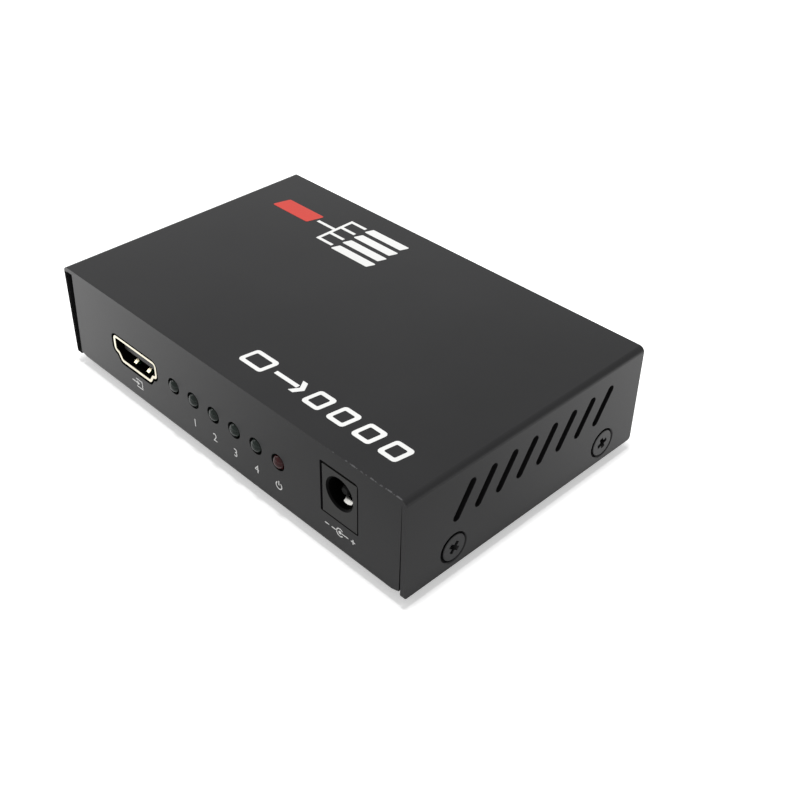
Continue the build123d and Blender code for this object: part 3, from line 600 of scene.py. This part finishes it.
lamp_tips = {}
for name in [f"status_lamp_{index}" for index in range(1, 6)] + ["power_lamp"]:
    low, high = box_mm(name)
    lamp_tips[name] = Vector(((low.x + high.x) / 2, low.y, (low.z + high.z) / 2))
jack_low, jack_high = box_mm("power_jack_body")
jack_x = (jack_low.x + jack_high.x) / 2
board_high = box_mm("main_board")[1]
standoff_high = box_mm("board_standoffs")[1]

panel_end = abs(up_panel(0, panel_top, 1).y)
notch_line = tray_flat + tray_arc + relief_height - bend
ear_end = ear_line + ear_arc + ear_height - ear_bend


def tray_side(lean):
    """Corners of the blank's right side, from front to back."""
    corner_run = (
        (tray_half - lean, -panel_end), (tray_half, -notch_line),
        (ear_line - relief_step, -notch_line + relief_rise), (ear_line, -tray_flat + relief_foot),
    )
    side = [(x, y, cut_corner) for x, y in corner_run]
    for row in screw_rows:
        side += [(ear_line, row - ear_half, ear_root), (ear_end, row - ear_half, ear_corner)]
        side += [(ear_end, row + ear_half, ear_corner), (ear_line, row + ear_half, ear_root)]
    return side + [(x, -y, cut_corner) for x, y in reversed(corner_run)]


left_side = [(-x, y, radius) for x, y, radius in reversed(tray_side(left_lean))]
tray_outline = rounded(tray_side(right_lean) + left_side, steps=4)

tray_holes = []
for name, facing in ports.items():
    mouth = mouths[name]
    loop = socket_loop(rim + cutout_gap)
    tray_holes.append([up_panel(mouth.x + point.x, mouth.z + point.y, facing) for point in loop])
for tip in lamp_tips.values():
    loop = circle(0, 0, lamp_hole, lamp_hole_sides)
    tray_holes.append([up_panel(tip.x + point.x, tip.z + point.y, -1) for point in loop])
left, right = jack_low.x - jack_gaps[0], jack_high.x + jack_gaps[1]
foot, head = jack_low.z - jack_gaps[2], jack_high.z + jack_gaps[3]
jack_places = ((left, foot), (right, foot), (right, head), (left, head))
jack_hole = rounded([(*place, radius) for place, radius in zip(jack_places, jack_corners)])
tray_holes.append([up_panel(point.x, point.y, -1) for point in jack_hole])
standoff_x = standoff_high.x - standoff_radius
standoff_y = standoff_high.y - standoff_radius * sin(pi / 3)
ear_hole_place = ear_line + ear_arc + screw_level - tray_bottom - ear_bend
for x, y in [(sx * standoff_x, sy * standoff_y) for sx in (-1, 1) for sy in (-1, 1)]:
    tray_holes.append(circle(x, y, standoff_radius + standoff_play, standoff_sides))
for x, y in [(side * ear_hole_place, row) for side in (-1, 1) for row in screw_rows]:
    tray_holes.append(circle(x, y, ear_hole, ear_hole_sides))

tray_folds = fold_places(tray_flat, bend, 1) + fold_places(ear_line, ear_bend, 0)
bm = cut_blank([tray_outline, *tray_holes], tray_folds)
face_up(bm, -1)
for vertex in bm.verts:
    u, v, depth = vertex.co
    if abs(v) > tray_flat:
        y, z = fold(v, depth, tray_flat, bend)
        vertex.co = (u, y, tray_bottom + z)
    else:
        x, z = fold(u, depth, ear_line, ear_bend)
        vertex.co = (x, v, tray_bottom + z)
tray = settled(bevelled(thickened(put("folded_tray", bm), sheet), sheet_edge))
finished(tray, paint, stands_for=["base_tray"])

# Top cover: one steel blank, punched with slanted vent slots and pressed with four dimples for its
# screws, then folded down at both sides so that it slides over the tray.
cover_bend = 1.25
cover_flat = cover_high.x - cover_bend
cover_arc = cover_bend * pi / 2
cover_wall = cover_high.z - cover_low.z - cover_bend
cover_end = cover_flat + cover_arc + cover_wall
slot_count, slot_pitch, slot_length, slot_width = 8, 5.55, 8.8, 1.8
slot_lean = radians(31.6)
slot_level, slot_shift = 16.9, 1.4
slot_steps = 12
wall_corner = 0.8
dimple_rings = (                # radius and depth, from the wall's face to the screw's hole
    (3.5, 0.0), (3.38, 0.03), (3.28, 0.12), (3.2, 0.3), (3.05, 0.62), (2.9, 0.72), (2.4, 0.98), (1.8, 1.42),
)
dimple_sides = 48
seam_reach = 1e-4               # the dimples' rims are joined to the wall over this distance


def down_wall(y, z, side):
    """Place on the flat blank of a point at that height on the right (1) or left (-1) wall."""
    return Vector((side * (cover_flat + cover_arc + cover_high.z - cover_bend - z), y))


def slot_loop(y, side):
    """One vent slot, its top end leaning back."""
    loop = []
    for end in (1, -1):
        for step in range(slot_steps + 1):
            angle = pi * step / slot_steps + (0 if end > 0 else pi)
            across = slot_width / 2 * cos(angle)
            along = end * (slot_length - slot_width) / 2 + slot_width / 2 * sin(angle)
            run = along * sin(slot_lean) + across * cos(slot_lean)
            rise = along * cos(slot_lean) - across * sin(slot_lean)
            loop.append(down_wall(y + run, slot_level + rise, side))
    return loop


def join_rings(bm, first, second):
    """Faces between two loops of as many vertices."""
    faces = []
    for index in range(len(first)):
        faces.append(bm.faces.new((first[index - 1], first[index], second[index], second[index - 1])))
    return faces


half_y = cover_high.y
cover_outline = rounded([
    (cover_end, -half_y, wall_corner), (cover_end, half_y, wall_corner),
    (-cover_end, half_y, wall_corner), (-cover_end, -half_y, wall_corner),
], steps=8)
dimples = [down_wall(row, screw_level, side) for side in (-1, 1) for row in screw_rows]
cover_holes = [circle(spot.x, spot.y, dimple_rings[0][0], dimple_sides) for spot in dimples]
for side in (-1, 1):
    for index in range(slot_count):
        cover_holes.append(slot_loop(slot_shift + (index - (slot_count - 1) / 2) * slot_pitch, side))
bm = cut_blank([cover_outline, *cover_holes], fold_places(cover_flat, cover_bend, 0))
for spot in dimples:
    rings = []
    for radius, depth in dimple_rings:
        rings.append(ring_of(bm, circle(spot.x, spot.y, radius, dimple_sides), -depth))
    for outer, inner in zip(rings, rings[1:]):
        join_rings(bm, outer, inner)
bmesh.ops.remove_doubles(bm, verts=bm.verts[:], dist=seam_reach)
face_up(bm, 1)
for vertex in bm.verts:
    u, v, rise = vertex.co
    x, z = fold(u, -rise, cover_flat, cover_bend)
    vertex.co = (x, v, cover_high.z - z)
cover = settled(bevelled(thickened(put("folded_cover", bm), sheet), sheet_edge))
finished(cover, paint, stands_for=["top_cover"])

# Cover screws: black countersunk machine screws with cross recesses, two a side. They sit a little back
# and low in their dimples and are turned into the tray's tapped ears, each stopping where it got tight.
screw_black = mottled(
    "screw_black", (0.010, 0.010, 0.011), (0.018, 0.018, 0.019), (0.34, 0.46), 0.004, 6.0,
    Specular_IOR_Level=0.25,
)
head_radius, head_height, shank_radius, screw_length, end_chamfer = 2.85, 1.35, 1.5, 4.0, 0.3
screw_sides, screw_edge = 48, 0.04
head_rim = ((0.25, 0.0), (0.08, 0.04), (0.0, 0.14))     # in from the head's radius, at each depth
screw_profile = [(0, 0.0)] + [(head_radius - inset, depth) for inset, depth in head_rim]
screw_profile += [
    (shank_radius, head_height), (shank_radius, screw_length - end_chamfer),
    (shank_radius - end_chamfer, screw_length), (0, screw_length),
]
arm, half_arm = 1.35, 0.46
cut_levels = ((1.06, -0.2), (1.0, 0.0), (0.75, 1.1))    # how wide the recess is at each depth
screw_sink, seat_shift = 0.08, (0.27, -0.21)
drive_turns = {-1: (5, 36), 1: (39, 70)}                # degrees, for the left and the right screws

bm = bmesh.new()
turned_on(bm, screw_profile, screw_sides)
blank_screw = put("screw_blank", bm)
cross = []
for turn in range(4):
    angle = pi / 2 * turn
    for x, y in ((half_arm, half_arm), (half_arm, arm), (-half_arm, arm)):
        cross.append((x * cos(angle) - y * sin(angle), x * sin(angle) + y * cos(angle)))
bm = bmesh.new()
rings = [[bm.verts.new((x * scale, y * scale, level)) for x, y in cross] for scale, level in cut_levels]
for outer, inner in zip(rings, rings[1:]):
    join_rings(bm, outer, inner)
bm.faces.new(rings[0])
bm.faces.new(rings[-1])
bmesh.ops.recalc_face_normals(bm, faces=bm.faces[:])
cutter = put("recess_cutter", bm)
recess = blank_screw.modifiers.new("recess", "BOOLEAN")
recess.object = cutter
recess.solver = "EXACT"
screw_mesh = made_mesh(blank_screw)
for spare in (cutter, blank_screw):
    bpy.data.objects.remove(spare)
driven = []
for side, turns in drive_turns.items():
    for row, turn in zip(screw_rows, turns):
        seat = (side * (cover_high.x - screw_sink), row + seat_shift[0], screw_level + seat_shift[1])
        into_wall = Matrix.Translation(Vector(seat) * mm) @ Matrix.Rotation(-side * pi / 2, 4, "Y")
        driven.append(screw_mesh.copy())
        driven[-1].transform(into_wall @ Matrix.Rotation(radians(turn), 4, "Z"))
screws = settled(bevelled(put("cover_screw_set", drawn_again(*driven)), screw_edge))
finished(screws, screw_black, stands_for=["cover_screws"])

# Video sockets: each shell is drawn from thin gold-plated steel, with its rim flared, four spring
# fingers cut from its roof and floor, and legs that are soldered into the board.
gold_dark, gold_light, gold_painted_shade = (0.56, 0.53, 0.42), (0.66, 0.62, 0.50), (0.006, 0.005, 0.003)
inside_start, inside_full, inside_roughness = 0.02, 0.07, 0.25      # painted shade behind the rim's lip
gold_gloss, gold_bump = (0.16, 0.28), 0.002
mouth_face = abs(mouths["input_port"].y)
gold = Finish("shell_gold", grain_per_mm=4.0, patches_per_mm=0.4)
plated = gold.blend(gold.ranged(gold.patch, 0.0, 1.0), gold_dark, gold_light)
# Painted shade: the shell turns near black and rougher just behind the rim's lip
inside = gold.fade(gold.math("ABSOLUTE", gold.y), mouth_face - inside_full, mouth_face - inside_start)
gold.to("Base Color", gold.blend(inside, plated, gold_painted_shade))
shaded = gold.math("MULTIPLY", inside, inside_roughness)
gold.to("Roughness", gold.math("ADD", gold.ranged(gold.patch, *gold_gloss), shaded))
gold.bump(gold.grain, gold_bump).set(Metallic=1.0)
finger_gold = mottled(
    "finger_gold", (0.80, 0.72, 0.50), (0.92, 0.86, 0.66), (0.3, 0.42), 0.002, 6.0, Metallic=1.0
)

shell_wall, shell_edge = 0.4, 0.05
shell_stations = (              # depth behind the rim's face, and how far the wall stands out there
    (11.5, 0), (6.8, 0), (2.0, 0), (0.7, 0), (0.22, 0.01), (0.12, 0.03), (0.05, 0.07), (0.015, 0.12),
    (0.0, 0.18), (0.0, 0.70),
)
finger_half, finger_thickness = 0.5, 0.25
finger_line = (                 # depth, and how far the finger stands out of the wall
    (7.1, 0.15), (5.8, 0.08), (4.4, -0.10), (3.2, -0.33), (2.6, -0.42), (2.3, -0.44), (2.05, -0.38),
    (1.6, -0.1), (1.2, 0.2),
)
window_front, window_back = 0.7, 6.8
level_face = 0.95
leg_half, leg_foot, leg_head, leg_setbacks, leg_slack = 0.7, -2.8, 2.9, (4.0, 9.6), 0.02


def strip_on(bm, path, across, half_width, thickness, placed):
    """Adds a strip bent along (depth, height) points; placed turns (across, height, depth) to a place."""
    rings = []
    for index, (depth, height) in enumerate(path):
        before = Vector(path[max(index - 1, 0)])
        after = Vector(path[min(index + 1, len(path) - 1)])
        along = (after - before).normalized()
        out = Vector((-along.y, along.x)) * thickness
        corners = (
            (across - half_width, height, depth), (across + half_width, height, depth),
            (across + half_width, height + out.y, depth + out.x),
            (across - half_width, height + out.y, depth + out.x),
        )
        rings.append([bm.verts.new(placed(*corner)) for corner in corners])
    faces = []
    for first, second in zip(rings, rings[1:]):
        faces += join_rings(bm, first, second)
    faces += [bm.faces.new(rings[0]), bm.faces.new(rings[-1])]
    bmesh.ops.recalc_face_normals(bm, faces=faces)


def in_window(first, second, depth, next_depth):
    """True where the sleeve is cut away round a spring finger."""
    if max(depth, next_depth) > window_back or min(depth, next_depth) < window_front:
        return False
    middle = (first + second) / 2
    if abs(middle.y - socket_height) < tiny:
        return abs(abs(middle.x) - roof_finger) < window_half
    return abs(middle.y) < tiny and abs(abs(middle.x) - floor_finger) < window_half


def socket_place(mouth, facing):
    """Turns (across, height, depth) from a socket's mouth into a place."""
    def placed(across, height, depth):
        return Vector((mouth.x - facing * across, mouth.y - facing * depth, mouth.z + height))
    return placed


for name, facing in ports.items():
    in_mouth = socket_place(mouths[name], facing)
    base = socket_loop(0)
    bm = bmesh.new()
    rings = []
    for depth, grow in shell_stations:
        rings.append([bm.verts.new(in_mouth(point.x, point.y, depth)) for point in socket_loop(grow)])
    spans = zip(shell_stations, shell_stations[1:], rings, rings[1:])
    for (depth, _), (next_depth, _), first, second in spans:
        for index in range(len(base)):
            if not in_window(base[index - 1], base[index], depth, next_depth):
                bm.faces.new((first[index - 1], first[index], second[index], second[index - 1]))
    bm.normal_update()
    level_faces = [face for face in bm.faces if abs(face.normal.z) > level_face]
    if max(level_faces, key=lambda face: face.calc_center_median().z).normal.z > 0:
        bmesh.ops.reverse_faces(bm, faces=bm.faces[:])
    sleeve = thickened(put("sleeve", bm), shell_wall)
    bm = drawn_again(made_mesh(sleeve))
    bpy.data.objects.remove(sleeve)
    springs = bmesh.new()
    for side in (-1, 1):
        roof_path = [(depth, socket_height + rise) for depth, rise in reversed(finger_line)]
        strip_on(springs, roof_path, side * roof_finger, finger_half, finger_thickness, in_mouth)
        floor_path = [(depth, -rise) for depth, rise in finger_line]
        strip_on(springs, floor_path, side * floor_finger, finger_half, finger_thickness, in_mouth)
        leg_x = side * (socket_half + shell_wall / 2)
        for setback in leg_setbacks:
            leg_path = [(setback - leg_half, leg_foot), (setback - leg_half, leg_head)]
            strip_on(bm, leg_path, leg_x, shell_wall / 2 - leg_slack, -2 * leg_half, in_mouth)
    shell = settled(bevelled(put(f"{name}_sleeve", bm), shell_edge))
    finished(shell, gold, stands_for=[f"{name}_shell"])
    fingers = settled(bevelled(put(f"{name}_spring_fingers", springs), shell_edge))
    finished(fingers, finger_gold)

# Socket insides: a block moulded in black plastic carries the tongue, and nineteen gold-plated contacts
# lie in it, pressed in from the back with their tails bent down to the board.
insulator_black = mottled(
    "insulator_black", (0.008, 0.008, 0.008), (0.014, 0.013, 0.012), (0.4, 0.55), 0.01, 3.0
)
contact_gold = mottled(
    "contact_gold", (0.80, 0.58, 0.25), (0.90, 0.70, 0.36), (0.15, 0.3), 0.002, 6.0, Metallic=1.0
)
weld_reach = 0.001


def dress(names, finish, edge=0.0):
    """Gives CAD nodes their material, and rounds their edges."""
    for name in names:
        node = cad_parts[name]
        for index in range(len(node.data.materials)):
            node.data.materials[index] = finish.material
        if edge:
            weld = node.modifiers.new("weld", "WELD")
            weld.merge_threshold = weld_reach * mm
            bevelled(node, edge)
            node.modifiers.new("flat_faces", "WEIGHTED_NORMAL").keep_sharp = True


dress([f"{name}_insulator" for name in ports], insulator_black, edge=0.08)
dress([f"{name}_contacts" for name in ports], contact_gold)

# Lamps: 3 mm epoxy lenses, smoked grey-green for the outputs and dark red for power, each with a
# flange behind its panel hole and its tinned leads bent down to the board.
lens_radius, lens_bulge = 1.5, 1.25
lens_front = 0.75               # the dome's tip stands this far before the front of its solid
dome_steps, lens_sides = 10, 40
lens_profile = []
for step in range(dome_steps + 1):
    angle = pi / 2 * step / dome_steps
    lens_profile.append((lens_radius * sin(angle), lens_front - lens_bulge * (1 - cos(angle))))
lens_profile += [
    (lens_radius, -4.2), (1.55, -4.3), (1.82, -4.3), (1.9, -4.38), (1.9, -5.22), (1.82, -5.3), (0, -5.3),
]
epoxy = {"Transmission_Weight": 0.25, "IOR": 1.45, "Specular_IOR_Level": 0.12}
lens_grey = mottled(
    "lens_grey", (0.010, 0.018, 0.014), (0.018, 0.029, 0.024), (0.12, 0.18), 0.004, 2.0, **epoxy
)
lens_red = mottled(
    "lens_red", (0.036, 0.005, 0.006), (0.060, 0.009, 0.010), (0.12, 0.18), 0.004, 2.0, **epoxy
)
nickel = mottled(
    "contact_nickel", (0.62, 0.61, 0.58), (0.76, 0.75, 0.72), (0.16, 0.3), 0.002, 5.0, Metallic=1.0
)
facing_front = Matrix.Rotation(pi / 2, 4, "X")
for name, tip in lamp_tips.items():
    bm = bmesh.new()
    turned_on(bm, lens_profile, lens_sides, Matrix.Translation(tip) @ facing_front)
    smoked, slot = (lens_red, "lens_red") if name == "power_lamp" else (lens_grey, "lens_grey")
    finished(put(f"{name}_lens", bm), smoked, stands_for=[name])
dress(["lamp_leads"], nickel)

# Power jack: a moulded black body behind its square hole, with its centre pin and sprung side leaf. The
# ground contact is a bowed nickel tongue on the bore's floor, whose leg is soldered into the board.
bore_height, bore_rim, bore_blend = 6.5, 3.62, 0.06
bore_axis = Vector((jack_x, jack_low.y, board_high.z + bore_height))
jack_dark, jack_light, bore_painted_shade = (0.014, 0.014, 0.0135), (0.021, 0.021, 0.020), (0.002, 0.002, 0.002)
body_shine, bore_shine, jack_gloss, jack_bump = 0.2, 0.03, (0.35, 0.5), 0.008
jack_black = Finish("jack_plastic", grain_per_mm=3.0)
# Painted shade: inside the bore's radius the plastic turns near black and loses its shine
across = jack_black.math("SUBTRACT", jack_black.x, bore_axis.x * mm)
up = jack_black.math("SUBTRACT", jack_black.z, bore_axis.z * mm)
squared = jack_black.math("MULTIPLY_ADD", up, up, jack_black.math("MULTIPLY", across, across))
painted_shade_in_bore = jack_black.fade(jack_black.math("SQRT", squared), bore_rim - bore_blend, bore_rim)
moulded = jack_black.blend(jack_black.ranged(jack_black.patch, 0.0, 1.0), jack_dark, jack_light)
jack_black.to("Base Color", jack_black.blend(painted_shade_in_bore, moulded, bore_painted_shade))
jack_black.to("Specular IOR Level", jack_black.ranged(painted_shade_in_bore, body_shine, bore_shine, 0.0, 1.0))
jack_black.to("Roughness", jack_black.ranged(jack_black.patch, *jack_gloss))
jack_black.bump(jack_black.grain, jack_bump)
# Painted shade: the centre pin, nickel in fact, is near black for the shade deep in the bore
pin_painted_shade = mottled(
    "pin_painted_shade", (0.005, 0.005, 0.005), (0.009, 0.009, 0.009), (0.4, 0.55), 0.003, 5.0, Metallic=1.0
)
dress(["power_jack_body"], jack_black, edge=0.06)
dress(["power_jack_pin"], pin_painted_shade)
dress(["power_jack_side_terminal", "power_jack_spring"], nickel)

bow = (                         # depth in the bore, and height from its axis
    (8.0, -4.3), (7.7, -3.5), (6.8, -3.15), (5.0, -2.75), (3.8, -2.48), (3.2, -2.40), (2.8, -2.44),
    (2.4, -2.60), (2.0, -2.90), (1.6, -3.25),
)
bow_shift, bow_half, bow_thickness, bow_edge, ground_leg_half = 0.1, 1.0, 0.3, 0.04, 0.25
terminal_low, terminal_high = box_mm("power_jack_switch_terminal")


def upright(across, height, depth):
    return Vector((across, depth, height))


def from_bore(across, height, depth):
    return bore_axis + upright(across, height, depth)


bm = bmesh.new()
strip_on(bm, bow, bow_shift, bow_half, bow_thickness, from_bore)
ground_leg = ((terminal_low.y, terminal_low.z), (terminal_low.y, terminal_high.z))
leg_x = (terminal_low.x + terminal_high.x) / 2
strip_on(bm, ground_leg, leg_x, ground_leg_half, terminal_low.y - terminal_high.y, upright)
ground_contact = settled(bevelled(put("ground_contact", bm), bow_edge))
finished(ground_contact, nickel, stands_for=["power_jack_switch_terminal"])

# The board and what it carries: a green laminate held on four riveted steel standoffs by four screws,
# with tinned parts, moulded chips and can capacitors soldered on.
laminate = mottled("board_laminate", (0.004, 0.045, 0.018), (0.007, 0.070, 0.028), (0.25, 0.35), 0.01, 2.0)
steel = mottled(
    "steel_plain", (0.42, 0.42, 0.42), (0.55, 0.55, 0.55), (0.25, 0.4), 0.004, 4.0, Metallic=1.0
)
chip_black = mottled("chip_black", (0.014, 0.014, 0.014), (0.024, 0.024, 0.024), (0.5, 0.6), 0.006, 5.0)
can = mottled(
    "can_aluminium", (0.55, 0.55, 0.56), (0.68, 0.68, 0.69), (0.25, 0.4), 0.004, 4.0, Metallic=1.0
)
dress(["main_board"], laminate)
dress(["board_standoffs", "board_screws"], steel, edge=0.08)
moulded_parts = ("splitter_chip", "memory_chip", "controller_chip", "regulator_chip", "power_choke")
dress(moulded_parts, chip_black, edge=0.05)
dress(["termination_resistors", "lamp_resistors"], chip_black, edge=0.03)
dress(["splitter_chip_pins"], nickel)
dress(["clock_crystal"], steel, edge=0.1)
dress([f"can_capacitor_{index}" for index in (1, 2, 3)], can, edge=0.15)

# Printing: white and red screen ink. The four outputs' lamps and sockets have their numbers, the input,
# power lamp and jack have plain pictograms, and the top has a diagram of one line parted into four.
ink_rise, ink_thickness = 0.03, 0.02
white_ink = mottled("white_ink", (0.70, 0.70, 0.69), (0.80, 0.80, 0.79), (0.45, 0.6), 0.004, 6.0)
red_ink = mottled("red_ink", (0.46, 0.030, 0.020), (0.56, 0.042, 0.028), (0.45, 0.6), 0.004, 6.0)


def printed(name, shapes, ink, placed):
    """Screen print: flat meshes, put in place by placed, become one thin piece."""
    bm = bmesh.new()
    for flat in shapes:
        bm.from_mesh(flat)
        bpy.data.meshes.remove(flat)
    for vertex in bm.verts:
        vertex.co = placed(vertex.co.x, vertex.co.y)
    return finished(settled(thickened(put(name, bm), ink_thickness)), ink)


def on_top(x, y):
    return Vector((x, y, cover_high.z + ink_rise))


def on_front(x, z):
    return Vector((x, -panel_half - ink_rise, z))


def on_back(x, z):
    return Vector((-x, panel_half + ink_rise, z))


def shape(*loops):
    """A flat mesh from an outline and its holes."""
    bm = cut_blank(loops)
    face_up(bm, 1)
    mesh = bpy.data.meshes.new("shape")
    bm.to_mesh(mesh)
    bm.free()
    return mesh


def figure(text, x, y, size):
    """A figure in the built-in face, centred on a place."""
    curve = bpy.data.curves.new("figure", "FONT")
    curve.body = text
    curve.align_x, curve.align_y = "CENTER", "CENTER"
    curve.size = size
    carrier = bpy.data.objects.new("figure", curve)
    bpy.context.scene.collection.objects.link(carrier)
    mesh = made_mesh(carrier)
    bpy.data.objects.remove(carrier)
    mesh.transform(Matrix.Translation((x, y, 0)))
    return mesh


def bar(left, low, right, high, slant=0.0, radius=0.0):
    """A bar with its top shifted by the slant."""
    places = ((left, low), (right, low), (right + slant, high), (left + slant, high))
    return rounded([(*place, radius) for place in places], steps=3)


def outline(x, y, points):
    """An outline whose points are given from a place."""
    return [Vector((x + run, y + rise)) for run, rise in points]


def arc_band(x, y, radius, width, start, end, steps=20):
    """Part of a ring, from one angle to another, in degrees."""
    turns = [radians(start + (end - start) * k / steps) for k in range(steps + 1)]
    points = [(radius * cos(turn), radius * sin(turn)) for turn in turns]
    points += [((radius - width) * cos(turn), (radius - width) * sin(turn)) for turn in reversed(turns)]
    return outline(x, y, points)


outputs = 4
figure_size, lamp_label_level, socket_label_level = 2.76, 7.35, 6.3
lamp_figures, socket_figures = [], []
for number in range(1, outputs + 1):
    lamp_x, socket_x = lamp_tips[f"status_lamp_{number + 1}"].x, -mouths[f"output_port_{number}"].x
    lamp_figures.append(figure(str(number), lamp_x, lamp_label_level, figure_size))
    socket_figures.append(figure(str(number), socket_x, socket_label_level, figure_size))
printed("lamp_numbers", lamp_figures, white_ink, on_front)
printed("socket_numbers", socket_figures, white_ink, on_back)

# Pictograms: a switch's ring and stroke, an arrow into a frame, and a barrel plug with its two poles
power_x = lamp_tips["power_lamp"].x
power_ring = (0.95, 0.26, 125, 415)         # radius, width, and the angles where it starts and ends
power_stroke = ((-0.13, 0.1), (0.13, 0.1), (0.13, 1.15), (-0.13, 1.15))
input_x, input_level = mouths["input_port"].x, 6.6
input_arrow = (
    (-1.9, -0.14), (-0.1, -0.14), (-0.1, -0.6), (0.8, 0), (-0.1, 0.6), (-0.1, 0.14), (-1.9, 0.14),
)
input_frame = (
    (-0.4, -1.1), (1.9, -1.1), (1.9, 1.1), (-0.4, 1.1), (-0.4, 0.84), (1.64, 0.84), (1.64, -0.84),
    (-0.4, -0.84),
)
jack_level, pole_radius, pole_sides = 7.0, 0.38, 20
barrel_ring = (1.0, 0.24, 40, 320)
jack_bars = (                               # left, low, right and high, from the pole's middle
    (0.3, -0.12, 2.2, 0.12), (-2.2, -0.12, -0.9, 0.12), (-4.0, -0.12, -2.9, 0.12), (2.9, -0.12, 4.0, 0.12),
    (3.33, -0.55, 3.57, -0.12), (3.33, 0.12, 3.57, 0.55),
)
signs = [
    shape(arc_band(power_x, lamp_label_level, *power_ring)),
    shape(outline(power_x, lamp_label_level, power_stroke)),
    shape(outline(input_x, input_level, input_arrow)),
    shape(outline(input_x, input_level, input_frame)),
    shape(circle(jack_x, jack_level, pole_radius, pole_sides)),
    shape(arc_band(jack_x, jack_level, *barrel_ring)),
]
for left, low, right, high in jack_bars:
    signs.append(shape(bar(jack_x + left, jack_level + low, jack_x + right, jack_level + high)))
printed("panel_pictograms", signs, white_ink, on_front)

# The diagram at the back of the top: one red bar for the source, a trunk, and four white bars
diagram_x, diagram_y = -43.0, 20.5
source_length, source_half, source_slant, source_corner = 12.0, 2.2, 1.2, 0.4
stroke, branch_pitch = 0.8, 3.4
trunk_start, fork, branch_end = 13.5, 19.0, 24.0
line_start, line_end, line_half, line_slant, line_corner = 24.6, 36.0, 1.1, 0.8, 0.3
branches = [diagram_y + (index - (outputs - 1) / 2) * branch_pitch for index in range(outputs)]


def level_bar(start, end, y, half, slant=0.0, radius=0.0):
    """A bar along the diagram, from one place to another."""
    return shape(bar(diagram_x + start, y - half, diagram_x + end, y + half, slant, radius))


diagram = [level_bar(trunk_start, fork, diagram_y, stroke / 2)]
fork_x = diagram_x + fork
diagram.append(shape(bar(fork_x, branches[0] - stroke / 2, fork_x + stroke, branches[-1] + stroke / 2)))
for y in branches:
    diagram.append(level_bar(fork + stroke, branch_end, y, stroke / 2))
    diagram.append(level_bar(line_start, line_end, y, line_half, line_slant, line_corner))
printed("top_diagram", diagram, white_ink, on_top)
source_bar = level_bar(0, source_length, diagram_y, source_half, source_slant, source_corner)
printed("top_source_mark", [source_bar], red_ink, on_top)

# A row of outlined boxes along the front of the top, with an arrow from the first to the other four
band_x, band_y, band_height = 0.8, -26.9, 4.8
band_stroke, band_slant, inner_slant, inner_shift = 0.95, 0.7, 0.42, 0.12
outer_round, inner_round = 0.8, 0.3
source_width, target_width, band_gap = 6.6, 4.6, 2.0
arrow_length, shaft_short = 7.6, 1.2
arrow_head = ((-1.9, -1.9), (-0.6, -1.9), (0.6, 0), (-0.6, 1.9), (-1.9, 1.9), (-0.7, 0))


def outlined(x, width):
    """A slanted box drawn as one stroke."""
    left, right = x + band_stroke + inner_shift, x + width - band_stroke + inner_shift
    low, high = band_y + band_stroke, band_y + band_height - band_stroke
    outer = bar(x, band_y, x + width, band_y + band_height, band_slant, outer_round)
    return shape(outer, bar(left, low, right, high, inner_slant, inner_round))


arrow_x = band_x + source_width + band_gap
arrow_y = band_y + band_height / 2
arrow_end = arrow_x + arrow_length
shaft = bar(arrow_x, arrow_y - band_stroke / 2, arrow_end - shaft_short, arrow_y + band_stroke / 2)
band = [outlined(band_x, source_width), shape(shaft), shape(outline(arrow_end, arrow_y, arrow_head))]
for index in range(outputs):
    band.append(outlined(arrow_end + band_gap + index * (target_width + band_gap), target_width))
printed("top_band", band, white_ink, on_top)
